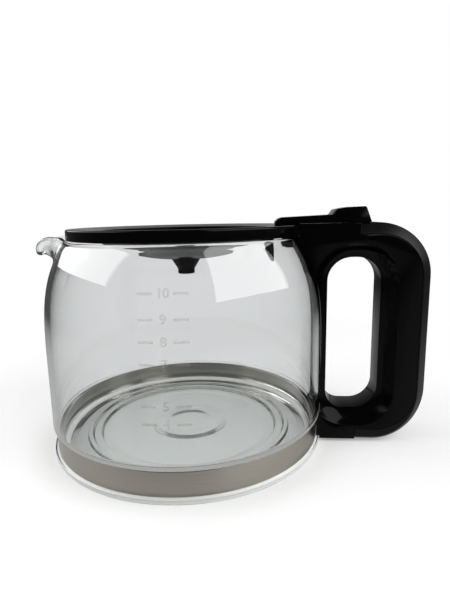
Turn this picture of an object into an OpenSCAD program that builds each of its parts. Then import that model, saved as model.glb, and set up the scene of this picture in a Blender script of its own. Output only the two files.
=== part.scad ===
// Coffee server carafe: glass jug with a steel band, a black handle and a hinged drip-through lid.
// Millimetres. The jug stands on z = 0 with its axis on z, the handle towards +x, the lip towards -x.

/* [Glass jug] */
// Radius of the jug's body
body_r = 71.6; // [64:0.1:80]
// Height of the glass rim
jug_h = 106.8; // [98:0.1:120]
// Outer radius of the neck rim
rim_r = 59.8; // [54:0.1:63]
// Thickness of the glass wall
wall = 2.5; // [2:0.1:3]
// Height at which the shoulder starts to draw in
shoulder_z = 44; // [34:0.5:56]
// Height of the straight neck under the rim
neck_h = 1.6; // [1.3:0.1:2.6]
// Thickness of the floor at its rings
floor_t = 4.4; // [3.6:0.1:5.5]
// Outer rounding of the foot
foot_round = 2.4; // [1.8:0.1:2.6]
// Rounding between the floor and the wall inside
floor_round = 5; // [3:0.5:8]
// Radius of the outer ring in the floor
ring_r = 54; // [50:0.5:57]
// Radius of the inner ring in the floor
inner_ring_r = 47.6; // [42:0.5:49]
// Height of each ring step in the floor
ring_step = 0.8; // [0.4:0.1:1.2]
// Radius of the raised button in the middle of the floor
button_r = 20; // [14:0.5:26]
// Height of the raised button
button_h = 1.6; // [0.8:0.1:2.2]
// Radius of the dimple on the button
dimple_r = 10.7; // [7:0.1:13]

/* [Pouring lip] */
// Reach of the lip beyond the neck rim
lip_reach = 20.9; // [16:0.1:26]
// Height of the lip's crest above the glass rim
lip_rise = 2; // [1:0.1:3]
// Width of the lip where it leaves the neck
lip_w = 33; // [26:0.5:38]
// Radius of the lip's tip, seen from above
tip_r = 6; // [5:0.1:8]
// Height of the lip's curve, from its crest down to the tip's widest point
lip_drop = 11.8; // [9:0.1:13]
// Thickness of the lip's glass
lip_t = 2.2; // [1.8:0.1:2.6]

/* [Steel band] */
// Height of the band
band_h = 11.5; // [9:0.1:12.5]
// Thickness of the strap
band_t = 0.7; // [0.5:0.05:0.9]
// Height of the band's lower edge above the surface the jug stands on
band_z = 3; // [2.9:0.1:3.8]
// Depth of the groove in the glass
groove_depth = 2.4; // [1.8:0.1:2.8]
// Gap between the strap's two bent ends
ear_gap = 5; // [4:0.1:6]
// Length of the bent ends, from the band's outside
ear_len = 10.5; // [9.5:0.1:12]

/* [Handle] */
// Width of the handle across its side faces
handle_w = 27; // [24:0.1:32]
// Reach of the handle beyond the jug's body
handle_reach = 52.5; // [50.5:0.1:60]
// Height of the handle's top face above the glass rim
handle_rise = 6; // [5.6:0.1:9]
// Height of the handle's lowest face
handle_base = 1.5; // [1.2:0.1:2.5]
// Outer radius of the handle's two corners
corner_r = 26.5; // [20:0.5:29]
// Thickness of the outer cover
spine_t = 5.4; // [4.6:0.1:6.5]
// Width lost to each bevel of the outer cover
spine_bevel = 5.5; // [3:0.1:5.6]
// Distance from the jug's body to the start of the outer cover
spine_start = 17.2; // [16.4:0.1:18]
// Distance from the jug's body to the finger opening
post_w = 2.5; // [2.2:0.1:4]
// Width of the finger opening
slot_w = 26.3; // [24.4:0.1:27.5]
// Thickness of the handle below the opening
foot_bar = 15.1; // [14.2:0.1:18]
// Thickness of the handle above the opening
top_bar = 16.9; // [16.4:0.1:24]
// Corner radius of the finger opening
slot_r = 12; // [10:0.1:13]
// Smaller corner radius, at the opening's lower front corner
slot_small_r = 9; // [7:0.1:11]
// Depth of the scoop round the opening, from each side face
scoop_depth = 6; // [3:0.1:8]
// Width of the scoop on the side face
scoop_w = 7.2; // [4:0.1:8]

/* [Rim hook] */
// Width of the hook
hook_w = 7.8; // [6:0.1:8.4]
// Thickness of the hook over the rim
hook_t = 2.1; // [1.7:0.1:2.3]
// Length of the hook's drop inside the neck
hook_drop = 6; // [4:0.1:8]
// Thickness of the hook's drop
hook_drop_t = 5.5; // [4:0.1:6]
// Length of the hook's tongue inside the handle
hook_tongue = 9.3; // [8.6:0.1:11]

/* [Lid] */
// Distance from the outside of the glass rim in to the lid's edge
lid_inset = 0.4; // [0:0.1:1.2]
// Offset of the lid's centre towards the handle
lid_shift = 1.2; // [0:0.1:1.6]
// Height of the lid's rim wall
lid_h = 5.3; // [4.8:0.1:5.9]
// Thickness of the lid's top plate
lid_plate = 2; // [1.6:0.1:2.2]
// Thickness of the lid's rim wall
lid_wall = 2; // [1.4:0.1:2.6]
// Width of the lid's flat border round the funnel
lid_border = 14.4; // [13.7:0.1:20]
// Thickness of the funnel
funnel_t = 1.7; // [1.4:0.1:2.2]
// Depth of the funnel below the lid's lower edge
funnel_drop = 11.8; // [8:0.1:14]
// Width of the flange that seats the funnel under the plate
flange_w = 3.2; // [2.5:0.1:3.6]
// Width of the guide fin, along the row to the hinge
fin_w = 6.2; // [4:0.1:7]
// Depth of the guide fin below the lid's lower edge
fin_drop = 13.4; // [8:0.1:15]
// Thickness of the guide fin
fin_t = 2.4; // [1.6:0.1:3]
// Distance from the funnel's outside in to the guide fin's outer edge
fin_inset = 0.5; // [0.2:0.1:3]

/* [Drip nozzle] */
// Radius of the nozzle's flare
flare_r = 7; // [6:0.1:8]
// Radius of the nozzle's lower end
nozzle_r = 4.35; // [3.8:0.05:5]
// Length of the nozzle below the funnel
nozzle_len = 7.4; // [5:0.1:10]
// Radius of the drip hole
drip_r = 1.9; // [1.4:0.1:1.95]
// Radius of the nozzle's stem in the funnel
stem_r = 4; // [3.4:0.1:4.6]

/* [Lid arm] */
// Width of the arm and its thumb tab
arm_w = 18; // [17:0.1:22]
// Height of the arm above the lid at its front
arm_front_h = 3.6; // [3.2:0.1:4.5]
// Height of the arm above the lid at the foot of the tab
arm_back_h = 4.5; // [3.8:0.1:5.5]
// Height of the thumb tab above the arm
tab_h = 3.7; // [2.5:0.1:6]
// Length of the arm over the lid
arm_over = 12.9; // [12:0.1:14]
// Length of the thumb tab along its foot
tab_len = 18.9; // [16:0.1:20]
// Distance from the tab's rear edge to the hinge pin
tab_to_pin = 2.8; // [2.8:0.1:3.6]

/* [Hinge] */
// Radius of the hinge pin
pin_r = 1.25; // [1:0.05:1.4]
// Distance from the handle's side faces in to the pin's ends
pin_inset = 4.4; // [4.2:0.1:5.2]
// Depth of the pin's axis below the handle's top
pin_depth = 2.6; // [2.5:0.05:2.7]
// Radius of the arm's knuckle
knuckle_r = 2.5; // [2.2:0.05:2.6]
// Width of the arm's knuckle
knuckle_w = 12; // [9:0.1:12.4]

/* [Screws] */
// Radius of the band screw
band_screw_r = 1.5; // [1.2:0.05:1.7]
// Length of the band screw under its head
band_screw_len = 19; // [18:0.1:20]
// Width of the square nut
nut_w = 5.5; // [5:0.1:6]
// Thickness of the square nut
nut_t = 2.4; // [2:0.1:2.8]
// Radius of the hook screw
hook_screw_r = 1.25; // [1:0.05:1.35]
// Length of the hook screw under its head
hook_screw_len = 8; // [6:0.1:9]
// Radius of the arm screws
arm_screw_r = 1; // [0.8:0.05:1.2]
// Length of the arm screws under their heads
arm_screw_len = 4.4; // [3.6:0.1:4.8]
// Distance between the arm screws
arm_screw_gap = 13.2; // [12.8:0.1:13.4]

/* [Fits] */
// Clearance between pieces that move past each other
clear = 0.3; // [0.2:0.05:0.4]
// Clearance between pieces that are fixed together
seat = 0.05; // [0.03:0.01:0.08]
// Radial clearance of the pin in the knuckle
run_fit = 0.05; // [0.02:0.01:0.08]

/* [Hidden] */
$fn = 128;

// Overrun of every cut past the face that it opens
over = 1;

// Glass: shoulder curve, groove and floor
shoulder_power = 3.7;
shoulder_steps = 22;
shoulder_top = jug_h - neck_h;
groove_r = body_r - groove_depth;
groove_slope = 1.9;
groove_edge = 0.1;
groove_z0 = band_z - groove_edge;
groove_z1 = band_z + band_h + groove_edge;
groove_wall = wall - groove_edge;
inner_body_r = body_r - wall;
inner_groove_r = groove_r - groove_wall;
inner_groove_top = groove_z1 + groove_slope;
ring_slope = 0.6;
button_slope = 1.4;
dimple_depth_share = 0.4;
bead_steps = 12;

function shoulder_r(t) = body_r - (body_r - rim_r) * pow(t, shoulder_power);
function shoulder_h(t) = shoulder_z + (shoulder_top - shoulder_z) * t;
function shoulder_lean(t) =
  -(body_r - rim_r) * shoulder_power * pow(t, shoulder_power - 1) / (shoulder_top - shoulder_z);
function shoulder_point(t, out) =
  let (lean = shoulder_lean(t), n = sqrt(1 + lean * lean))
  [shoulder_r(t) + out / n, shoulder_h(t) - out * lean / n];
function shoulder_points(out) = [for (i = [0:shoulder_steps]) shoulder_point(i / shoulder_steps, out)];
function reversed(list) = [for (i = [len(list) - 1:-1:0]) list[i]];
function arc(cx, cy, r, a0, a1, steps) =
  [for (i = [0:steps]) let (a = a0 + (a1 - a0) * i / steps) [cx + r * cos(a), cy + r * sin(a)]];

outer_profile = concat(
  [[0, 0]],
  arc(body_r - foot_round, foot_round, foot_round, -90, 0, bead_steps),
  [[body_r, groove_z0 - groove_edge], [groove_r, groove_z0], [groove_r, groove_z1],
   [body_r, groove_z1 + groove_slope]],
  shoulder_points(0));
inner_profile = concat(
  [[0, floor_t + button_h * (1 - dimple_depth_share)],
   [dimple_r - ring_slope, floor_t + button_h * (1 - dimple_depth_share)],
   [dimple_r, floor_t + button_h], [button_r - button_slope, floor_t + button_h], [button_r, floor_t],
   [inner_ring_r, floor_t], [inner_ring_r + ring_slope, floor_t + ring_step], [ring_r, floor_t + ring_step],
   [ring_r + ring_slope, floor_t + ring_step + ring_step]],
  arc(inner_groove_r - floor_round, floor_t + ring_step + ring_step + floor_round, floor_round,
      -90, 0, bead_steps),
  [[inner_groove_r, groove_z1], [inner_body_r, inner_groove_top + groove_slope]],
  shoulder_points(-wall), [[rim_r - wall, shoulder_top]]);
rim_bead = arc(rim_r - wall / 2, jug_h - wall / 2, wall / 2, 0, 180, bead_steps);

// Pouring lip: side outline and plan
lip_x = -(rim_r + lip_reach);
lip_half_share = 0.64;
lip_mid_x = lip_x + lip_reach * lip_half_share;
crest_z = jug_h + lip_rise;
lip_low_z = crest_z - lip_drop;
lip_root_x = -(rim_r - lip_t - lip_t);
lip_keep = 0.5;
lip_arc_steps = 18;
// Places along the lip's underside, as shares of its reach in from the tip and of its drop below the crest
lip_under_shares = [[0.06, 0.96], [0.30, 0.91], [0.45, 1.16], [0.66, 1.58], [1.25, 2.1]];
lip_floor_shares = [[0.17, 0.76], [0.36, 0.73], [0.52, 0.99], [0.90, 1.35], [1.5, 1.7]];

// Handle
half_w = handle_w / 2;
handle_top = jug_h + handle_rise;
slot_z0 = handle_base + foot_bar;
slot_z1 = handle_top - top_bar;
slot_x0 = body_r + post_w;
slot_x1 = slot_x0 + slot_w;
spine_x0 = body_r + spine_start;
handle_x1 = body_r + handle_reach;
corner_x = handle_x1 - corner_r;
corner_top_z = handle_top - corner_r;
corner_base_z = handle_base + corner_r;
core_x1 = handle_x1 - spine_t - seat;
core_r = corner_r - spine_t - seat;
core_z0 = handle_base + spine_t + seat;
core_z1 = handle_top - spine_t - seat;
face_gap = 0.25;
front_x = rim_r - wall;

// Lid
lid_r = rim_r - lid_inset;
funnel_r = lid_r - lid_border;
lid_z = jug_h + clear;
lid_top = lid_z + lid_h;
plate_z = lid_top - lid_plate;
lid_edge_x = lid_shift + lid_r;
arm_under = handle_top + clear;
// Where the lid's edge leaves the arm's sides
arm_step_x = lid_shift + sqrt(lid_r * lid_r - arm_w * arm_w / 4);

// Hinge
tab_back = 5.9;
tab_rear_x = spine_x0 + tab_back;
pin_x = tab_rear_x + tab_to_pin;
pin_z = handle_top - pin_depth;
pin_len = handle_w - pin_inset - pin_inset;
well_w = knuckle_w + clear + clear;
knuckle_len = 10.4;
well_x0 = pin_x - sqrt(knuckle_len * knuckle_len + knuckle_r * knuckle_r) - clear;
well_x1 = pin_x + knuckle_r + clear;
well_z = pin_z - knuckle_r - clear;

// Band and its screw
band_r = groove_r + groove_edge;
band_out_r = band_r + band_t;
ear_x1 = band_out_r + ear_len;
ear_out = ear_gap / 2 + band_t;
screw_place_share = 0.42;
screw_x = ear_x1 - ear_len * screw_place_share;
screw_z = band_z + band_h / 2;
head_ratio_share = 1.85;
head_h_share = 1.35;
nut_y = -band_screw_len / 2 + nut_t / 2;
screw_head_y = band_screw_len / 2;
drive_share = 0.5;

// Hook and its screw
hook_z0 = jug_h + seat;
hook_z1 = hook_z0 + hook_t;
hook_in_x1 = rim_r - wall - clear;
hook_in_x0 = hook_in_x1 - hook_drop_t;
hook_x1 = lid_edge_x + hook_tongue;
hook_screw_share = 0.36;
hook_screw_x = hook_x1 - hook_tongue * hook_screw_share;
hook_skin = 1.4;
hook_head_z = hook_z1 + hook_skin;

// Lid funnel and nozzle
funnel_z = lid_z - funnel_drop;
funnel_hub_r = 8;
flange_z = plate_z - funnel_t;
nozzle_z = funnel_z - nozzle_len;
snap_h = 1.2;
snap_out = 1.2;
nozzle_straight_share = 0.34;
// The funnel is a shallow bowl: its height follows a power of the way out from its hub
bowl_power = 1.9;
bowl_steps = 8;
bowl_run = funnel_r + funnel_t - funnel_hub_r;
// Upright thickness of the bowl's wall, as a share of the funnel's thickness
bowl_wall_share = 1.1;
function bowl_point(i, up) =
  [funnel_hub_r + bowl_run * i / bowl_steps, funnel_z + funnel_drop * pow(i / bowl_steps, bowl_power) + up];
// Outline of the guide fin, as shares of its width inwards and of its height downwards
fin_shares = [[0, 0], [0, 1], [0.35, 0.87], [0.72, 0.55], [1, 0.24]];
fin_root = 0.4;
fin_top = lid_z + fin_root;
fin_low = lid_z - fin_drop;
fin_x = funnel_r + funnel_t - fin_inset;

// Lid arm
arm_x0 = lid_edge_x - arm_over;
tab_x0 = tab_rear_x - tab_len;
arm_screw_in = 8.7;
arm_screw_x = lid_edge_x - arm_screw_in;
// Arm's front nose, as shares of its front height; the tab's slopes, as shares of its length and height
nose_shares = [[0, 0.39], [0.42, 0.81], [0.97, 1]];
tab_shares = [[0.10, 0.70], [0.35, 0.93], [0.845, 1]];

// A screw with its axis on z, its head's seat at 0 and its shank downwards
module screw(r, length) {
  head_r = r * head_ratio_share;
  head_h = r * head_h_share;
  difference() {
    union() {
      translate([0, 0, -length]) cylinder(r = r, h = length + seat);
      cylinder(r = head_r, h = head_h);
    }
    for (turn = [0, 90])
      rotate([0, 0, turn])
        translate([0, 0, head_h])
          cube([head_r * drive_share * 2, r * drive_share, head_h], center = true);
  }
}

// A flat outline in x and z, given a width along y
module slab(points, width) {
  translate([0, width / 2, 0])
    rotate([90, 0, 0])
      linear_extrude(width)
        polygon(points);
}

// Half of an ellipse, or part of one
function arc_pair(cx, cz, a, b, a0, a1) =
  [for (i = [0:lip_arc_steps])
    let (t = a0 + (a1 - a0) * i / lip_arc_steps) [cx + a * cos(t), cz + b * sin(t)]];

// Side outline of the lip's outside
lip_outer_side = concat(
  arc_pair(lip_mid_x, lip_low_z, lip_mid_x - lip_x, lip_drop, 0, 180),
  [for (s = lip_under_shares) [lip_x + s[0] * lip_reach, crest_z - s[1] * lip_drop]],
  [[0, crest_z - lip_under_shares[4][1] * lip_drop], [0, lip_low_z]]);
// Side outline of the lip's channel, open at the top
lip_inner_side = concat(
  [[0, crest_z + over], [lip_x - over, crest_z + over], [lip_x - over, lip_low_z + lip_t]],
  [for (s = lip_floor_shares) [lip_x + s[0] * lip_reach, crest_z - s[1] * lip_drop]],
  [[0, crest_z - lip_floor_shares[4][1] * lip_drop]]);

// The lip seen from above, drawn in by a margin
module lip_plan(inset) {
  r = tip_r - inset;
  half = lip_w / 2 - inset;
  translate([lip_x + tip_r, 0]) circle(r = r);
  polygon([[lip_x + tip_r, -r], [lip_root_x, -half], [0, -half], [0, half], [lip_root_x, half],
    [lip_x + tip_r, r]]);
}

module lip_block() {
  intersection() {
    slab(lip_outer_side, lip_w + over);
    linear_extrude(crest_z + over) lip_plan(0);
  }
}

module lip_channel() {
  intersection() {
    slab(lip_inner_side, lip_w);
    linear_extrude(crest_z + lip_w) lip_plan(lip_t);
  }
}

module jug_inside() {
  rotate_extrude()
    polygon(concat(inner_profile, [[rim_r - wall, jug_h + lip_w], [0, jug_h + lip_w]]));
}

module glass_jug() {
  color("lightcyan", 0.4)
    difference() {
      union() {
        rotate_extrude()
          polygon(concat(outer_profile, rim_bead, reversed(inner_profile)));
        difference() {
          lip_block();
          jug_inside();
          lip_channel();
          translate([lid_shift, 0, jug_h - wall / 2])
            cylinder(r = rim_r - wall / 2, h = lip_w);
          translate([lid_shift, 0, jug_h])
            cylinder(r = lid_r + lip_keep, h = lip_w);
        }
      }
      difference() {
        lip_channel();
        linear_extrude(jug_h) circle(r = rim_r - wall - lip_w);
      }
    }
}

module steel_band() {
  color("silver")
    difference() {
      union() {
        difference() {
          translate([0, 0, band_z]) cylinder(r = band_out_r, h = band_h);
          translate([0, 0, band_z - over]) cylinder(r = band_r, h = band_h + over + over);
          translate([0, -ear_gap / 2, 0]) cube([body_r + ear_len, ear_gap, band_z + band_h + over]);
        }
        for (side = [-1, 1])
          translate([band_r, side * (ear_gap + band_t) / 2 - band_t / 2, band_z])
            cube([ear_x1 - band_r, band_t, band_h]);
      }
      translate([screw_x, ear_out + over, screw_z])
        rotate([90, 0, 0])
          cylinder(r = band_screw_r + clear, h = (ear_out + over) * 2);
    }
}

module band_screw() {
  color("silver")
    translate([screw_x, screw_head_y, screw_z])
      rotate([-90, 0, 0])
        screw(band_screw_r, band_screw_len);
}

module band_nut() {
  color("silver")
    difference() {
      translate([screw_x, nut_y, screw_z])
        cube([nut_w, nut_t, nut_w], center = true);
      translate([screw_x, nut_y + nut_t, screw_z])
        rotate([90, 0, 0])
          cylinder(r = band_screw_r + seat, h = nut_t + nut_t);
    }
}

// Everything that the handle keeps clear of: the glass outside, the band and the lid's edge
module glass_room() {
  rotate_extrude()
    polygon(concat(
      [[0, -over], [body_r + face_gap, -over], [body_r + face_gap, groove_z0 + face_gap],
       [band_out_r + face_gap, groove_z0 + face_gap], [band_out_r + face_gap, groove_z1],
       [body_r + face_gap, groove_z1 + groove_slope]],
      shoulder_points(face_gap),
      [[rim_r + face_gap, jug_h + face_gap], [rim_r - wall, jug_h + face_gap], [0, jug_h + face_gap]]));
  translate([lid_shift, 0, lid_z - clear - seat])
    cylinder(r = lid_r + clear, h = lid_h + handle_top);
}

// Flat outline of the handle's inner moulding, in x and z
module core_outline() {
  translate([front_x, handle_base]) square([spine_x0 - front_x - seat, handle_top - handle_base]);
  translate([spine_x0 - slot_r, core_z0]) square([corner_x - spine_x0 + slot_r, core_z1 - core_z0]);
  translate([corner_x, corner_base_z]) square([core_x1 - corner_x, corner_top_z - corner_base_z]);
  translate([corner_x, corner_top_z]) circle(r = core_r);
  translate([corner_x, corner_base_z]) circle(r = core_r);
}

// Corners of the finger opening: x, z and radius
slot_corners = [[slot_x0 + slot_small_r, slot_z0 + slot_small_r, slot_small_r],
  [slot_x1 - slot_r, slot_z0 + slot_r, slot_r], [slot_x1 - slot_r, slot_z1 - slot_r, slot_r],
  [slot_x0 + slot_r, slot_z1 - slot_r, slot_r]];

// Flat outline of the finger opening, grown by a margin
module slot_outline(grow) {
  for (c = slot_corners)
    translate([c[0], c[1]]) circle(r = c[2] + grow);
  polygon([
    [slot_x0 - grow, slot_corners[0][1]], [slot_corners[0][0], slot_z0 - grow],
    [slot_corners[1][0], slot_z0 - grow], [slot_x1 + grow, slot_corners[1][1]],
    [slot_x1 + grow, slot_corners[2][1]], [slot_corners[2][0], slot_z1 + grow],
    [slot_corners[3][0], slot_z1 + grow], [slot_x0 - grow, slot_corners[3][1]]]);
}

// The scoop on one side face: sloping walls all round the opening
module scoop(side) {
  y0 = half_w - scoop_depth;
  run = scoop_w + scoop_w * over / scoop_depth;
  for (c = slot_corners)
    translate([c[0], side * y0, c[1]])
      rotate([-90 * side, 0, 0])
        cylinder(r1 = c[2], r2 = c[2] + run, h = scoop_depth + over);
  // Sloping wall of the lower and upper ends
  for (end = [
      [slot_corners[0], slot_corners[1], slot_z0, -1],
      [slot_corners[3], slot_corners[2], slot_z1, 1]])
    translate([end[0][0], 0, 0])
      rotate([90, 0, 90])
        linear_extrude(end[1][0] - end[0][0])
          polygon([[side * y0, end[0][1]], [side * y0, end[2]],
            [side * (half_w + over), end[2] + end[3] * run], [side * (half_w + over), end[0][1]]]);
  // Sloping wall of the front and back
  for (face = [
      [slot_corners[0], slot_corners[3], slot_x0, -1],
      [slot_corners[1], slot_corners[2], slot_x1, 1]])
    translate([0, 0, face[0][1]])
      linear_extrude(face[1][1] - face[0][1])
        polygon([[face[0][0], side * y0], [face[2], side * y0],
          [face[2] + face[3] * run, side * (half_w + over)], [face[0][0], side * (half_w + over)]]);
  // Middle of the scoop
  translate([0, side * (half_w + over), 0])
    rotate([90 * side, 0, 0])
      linear_extrude(scoop_depth + over)
        scale([1, side])
          slot_outline(0);
}

module hinge_well() {
  translate([well_x0, -well_w / 2, well_z])
    cube([well_x1 - well_x0, well_w, handle_top]);
}

module pin_hole(fit) {
  translate([pin_x, pin_len / 2 + seat, pin_z])
    rotate([90, 0, 0])
      cylinder(r = pin_r + fit, h = pin_len + seat + seat);
}

// Pocket of the band's bent ends, screw and nut, in the handle's foot
module foot_pockets() {
  for (side = [-1, 1])
    translate([front_x, side * (ear_gap + band_t) / 2 - band_t / 2 - clear, handle_base - over])
      cube([ear_x1 + clear - front_x, band_t + clear + clear, band_z + band_h + clear + over - handle_base]);
  translate([screw_x, screw_head_y + handle_w, screw_z])
    rotate([90, 0, 0])
      cylinder(r = band_screw_r * head_ratio_share + clear, h = handle_w);
  translate([screw_x, screw_head_y + over, screw_z])
    rotate([90, 0, 0])
      cylinder(r = band_screw_r + seat, h = band_screw_len + over + clear);
  translate([screw_x - nut_w / 2 - seat, nut_y - nut_t / 2 - seat, handle_base - over])
    cube([nut_w + seat * 2, nut_t + seat * 2, screw_z + nut_w / 2 + seat + over - handle_base]);
}

// Pocket of the rim hook's tongue and its screw
module hook_pockets() {
  translate([front_x, -hook_w / 2 - seat, hook_z0 - seat])
    cube([hook_x1 + seat - front_x, hook_w + seat * 2, hook_t + seat * 2]);
  translate([hook_screw_x, 0, hook_head_z])
    cylinder(r = hook_screw_r * head_ratio_share + clear, h = handle_top);
  translate([hook_screw_x, 0, hook_head_z - hook_screw_len - clear])
    cylinder(r = hook_screw_r + seat, h = hook_screw_len + clear + over);
}

module handle_body() {
  color([0.03, 0.03, 0.04])
    difference() {
      translate([0, half_w, 0])
        rotate([90, 0, 0])
          linear_extrude(handle_w)
            difference() {
              core_outline();
              slot_outline(0);
            }
      scoop(-1);
      scoop(1);
      glass_room();
      hinge_well();
      foot_pockets();
      hook_pockets();
    }
}

// Cross-section of the outer cover: full width inside, bevelled to its outer face
spine_section = [
  [-spine_t, -half_w], [-spine_t, half_w], [0, half_w - spine_bevel], [0, spine_bevel - half_w]];

// A straight run of the cover along z, its outer face towards +x
module spine_run(length) {
  linear_extrude(length)
    polygon(spine_section);
}

module spine_corner() {
  rotate([90, 0, 0])
    rotate_extrude(angle = 90)
      polygon([for (p = spine_section) [corner_r + p[0], p[1]]]);
}

module handle_spine() {
  color([0.09, 0.09, 0.1])
    difference() {
      union() {
        translate([handle_x1, 0, corner_base_z]) spine_run(corner_top_z - corner_base_z);
        translate([corner_x, 0, corner_top_z]) spine_corner();
        translate([corner_x, 0, corner_base_z]) rotate([0, 90, 0]) spine_corner();
        translate([spine_x0, 0, handle_top])
          rotate([0, 90, 0])
            mirror([1, 0, 0])
              spine_run(corner_x - spine_x0);
        translate([spine_x0, 0, handle_base]) rotate([0, 90, 0]) spine_run(corner_x - spine_x0);
      }
      hinge_well();
      pin_hole(seat);
    }
}

module rim_hook() {
  color([0.03, 0.03, 0.04])
    difference() {
      slab([[hook_in_x0, hook_z0 - hook_drop], [hook_in_x1, hook_z0 - hook_drop], [hook_in_x1, hook_z0],
        [hook_x1, hook_z0], [hook_x1, hook_z1], [hook_in_x0, hook_z1]], hook_w);
      translate([hook_screw_x, 0, hook_z0 - over])
        cylinder(r = hook_screw_r + seat, h = hook_t + over + over);
    }
}

module hook_screw() {
  color("silver")
    translate([hook_screw_x, 0, hook_head_z])
      screw(hook_screw_r, hook_screw_len);
}

module lid_shell() {
  color([0.02, 0.02, 0.02])
    difference() {
      translate([lid_shift, 0, lid_z]) cylinder(r = lid_r, h = lid_h);
      translate([lid_shift, 0, lid_z - over]) cylinder(r = lid_r - lid_wall, h = plate_z - lid_z + over);
      translate([lid_shift, 0, lid_z]) cylinder(r = funnel_r, h = lid_h + over);
      translate([hook_in_x0 - clear, -hook_w / 2 - clear, lid_z - over])
        cube([lid_r, hook_w + clear * 2, hook_z1 + clear - lid_z + over]);
      for (side = [-1, 1])
        translate([arm_screw_x, side * arm_screw_gap / 2, lid_z])
          cylinder(r = arm_screw_r + seat, h = lid_h + over);
    }
}

module lid_funnel() {
  color([0.05, 0.05, 0.055])
    translate([lid_shift, 0, 0]) {
      rotate_extrude()
        polygon(concat(
          [[stem_r + seat, funnel_z]],
          [for (i = [0:bowl_steps]) bowl_point(i, 0)],
          [[funnel_r + funnel_t, flange_z], [funnel_r + flange_w, flange_z], [funnel_r + flange_w, plate_z],
           [funnel_r - seat, plate_z], [funnel_r - seat, flange_z]],
          [for (i = [bowl_steps - 1:-1:1]) bowl_point(i, funnel_t * bowl_wall_share)],
          [[funnel_hub_r, funnel_z + funnel_t], [stem_r + seat, funnel_z + funnel_t]]));
      slab([for (s = fin_shares) [fin_x - s[0] * fin_w, fin_top - s[1] * (fin_top - fin_low)]], fin_t);
    }
}

module drip_nozzle() {
  color([0.02, 0.02, 0.02])
    translate([lid_shift, 0, 0])
      rotate_extrude()
        polygon([[drip_r, nozzle_z], [nozzle_r, nozzle_z],
          [nozzle_r + seat, nozzle_z + nozzle_len * nozzle_straight_share],
          [flare_r, funnel_z - seat], [stem_r, funnel_z - seat], [stem_r, funnel_z + funnel_t + seat],
          [stem_r + snap_out, funnel_z + funnel_t + seat], [stem_r, funnel_z + funnel_t + seat + snap_h],
          [drip_r, funnel_z + funnel_t + seat + snap_h]]);
}

module lid_arm() {
  color([0.02, 0.02, 0.02])
    difference() {
      union() {
        slab(concat(
          [[arm_step_x, lid_top], [arm_x0, lid_top]],
          [for (s = nose_shares) [arm_x0 + s[0] * arm_front_h, lid_top + s[1] * arm_front_h]],
          [[tab_x0, lid_top + arm_back_h]],
          [for (s = tab_shares) [tab_x0 + s[0] * tab_len, lid_top + arm_back_h + s[1] * tab_h]],
          [[tab_rear_x, arm_under], [arm_step_x, arm_under]]), arm_w);
        slab([
          [pin_x - knuckle_len, pin_z - knuckle_r], [pin_x, pin_z - knuckle_r],
          [pin_x, pin_z + knuckle_r], [tab_rear_x - clear, pin_z + knuckle_r],
          [tab_rear_x - clear, arm_under + clear], [pin_x - knuckle_len, arm_under + clear]], knuckle_w);
        translate([pin_x, knuckle_w / 2, pin_z])
          rotate([90, 0, 0])
            cylinder(r = knuckle_r, h = knuckle_w);
      }
      translate([pin_x, knuckle_w, pin_z])
        rotate([90, 0, 0])
          cylinder(r = pin_r + run_fit, h = knuckle_w * 2);
      for (side = [-1, 1])
        translate([arm_screw_x, side * arm_screw_gap / 2, lid_top - over])
          cylinder(r = arm_screw_r + seat, h = arm_screw_len - lid_plate + clear + over);
    }
}

module arm_screws() {
  color("silver")
    for (side = [-1, 1])
      translate([arm_screw_x, side * arm_screw_gap / 2, plate_z - seat])
        mirror([0, 0, 1])
          screw(arm_screw_r, arm_screw_len);
}

module hinge_pin() {
  color("silver")
    translate([pin_x, pin_len / 2, pin_z])
      rotate([90, 0, 0])
        cylinder(r = pin_r, h = pin_len);
}

glass_jug();
steel_band();
band_screw();
band_nut();
handle_body();
handle_spine();
rim_hook();
hook_screw();
lid_shell();
lid_funnel();
drip_nozzle();
lid_arm();
arm_screws();
hinge_pin();
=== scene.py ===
"""Looks of a glass coffee server carafe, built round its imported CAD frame.

The jug is remade as blown glass with a drawn pouring lip, the band as one bent steel strap, and the
handle and the lid as moulded pieces with the small roundings that a mould leaves. Screws, the nut and
the hinge pin are the frame's own solids with a turned steel finish. Sizes are in millimetres in the
part's own frame: z up from the surface that it stands on, x towards the handle.
"""

import logging
import math
from dataclasses import dataclass
from enum import Enum

import bmesh
import bpy
from bpy.types import Material, Node, NodeOutputs, NodeSocket, NodeTree, Object
from mathutils import Matrix, Vector


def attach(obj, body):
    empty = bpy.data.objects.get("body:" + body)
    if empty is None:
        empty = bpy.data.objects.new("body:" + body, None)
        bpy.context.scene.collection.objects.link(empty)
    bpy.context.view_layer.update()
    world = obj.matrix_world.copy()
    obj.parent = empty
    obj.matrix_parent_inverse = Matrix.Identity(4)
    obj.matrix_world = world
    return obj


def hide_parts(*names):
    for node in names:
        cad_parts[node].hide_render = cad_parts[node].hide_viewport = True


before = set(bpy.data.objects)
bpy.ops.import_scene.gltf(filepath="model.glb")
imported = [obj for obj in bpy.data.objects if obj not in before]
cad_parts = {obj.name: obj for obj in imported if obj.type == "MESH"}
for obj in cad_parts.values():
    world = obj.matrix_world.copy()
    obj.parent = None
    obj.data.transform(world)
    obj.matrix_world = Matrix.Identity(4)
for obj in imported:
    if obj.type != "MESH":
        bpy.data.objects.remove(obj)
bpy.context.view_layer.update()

Point = tuple[float, float, float]
Flat = tuple[float, float]
# A place along x or out from an axis, its height, and the radius of the rounding wanted there
Corner = tuple[float, float, float]
MM = 0.001
# Edges sharper than this stay sharp to the eye
SHARP_DEG = 40.0
# Points closer than this are one
WELD_MM = 0.002
# A rounding takes at most this share of each side that it joins
ROUNDED_SHARE = 0.48
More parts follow.
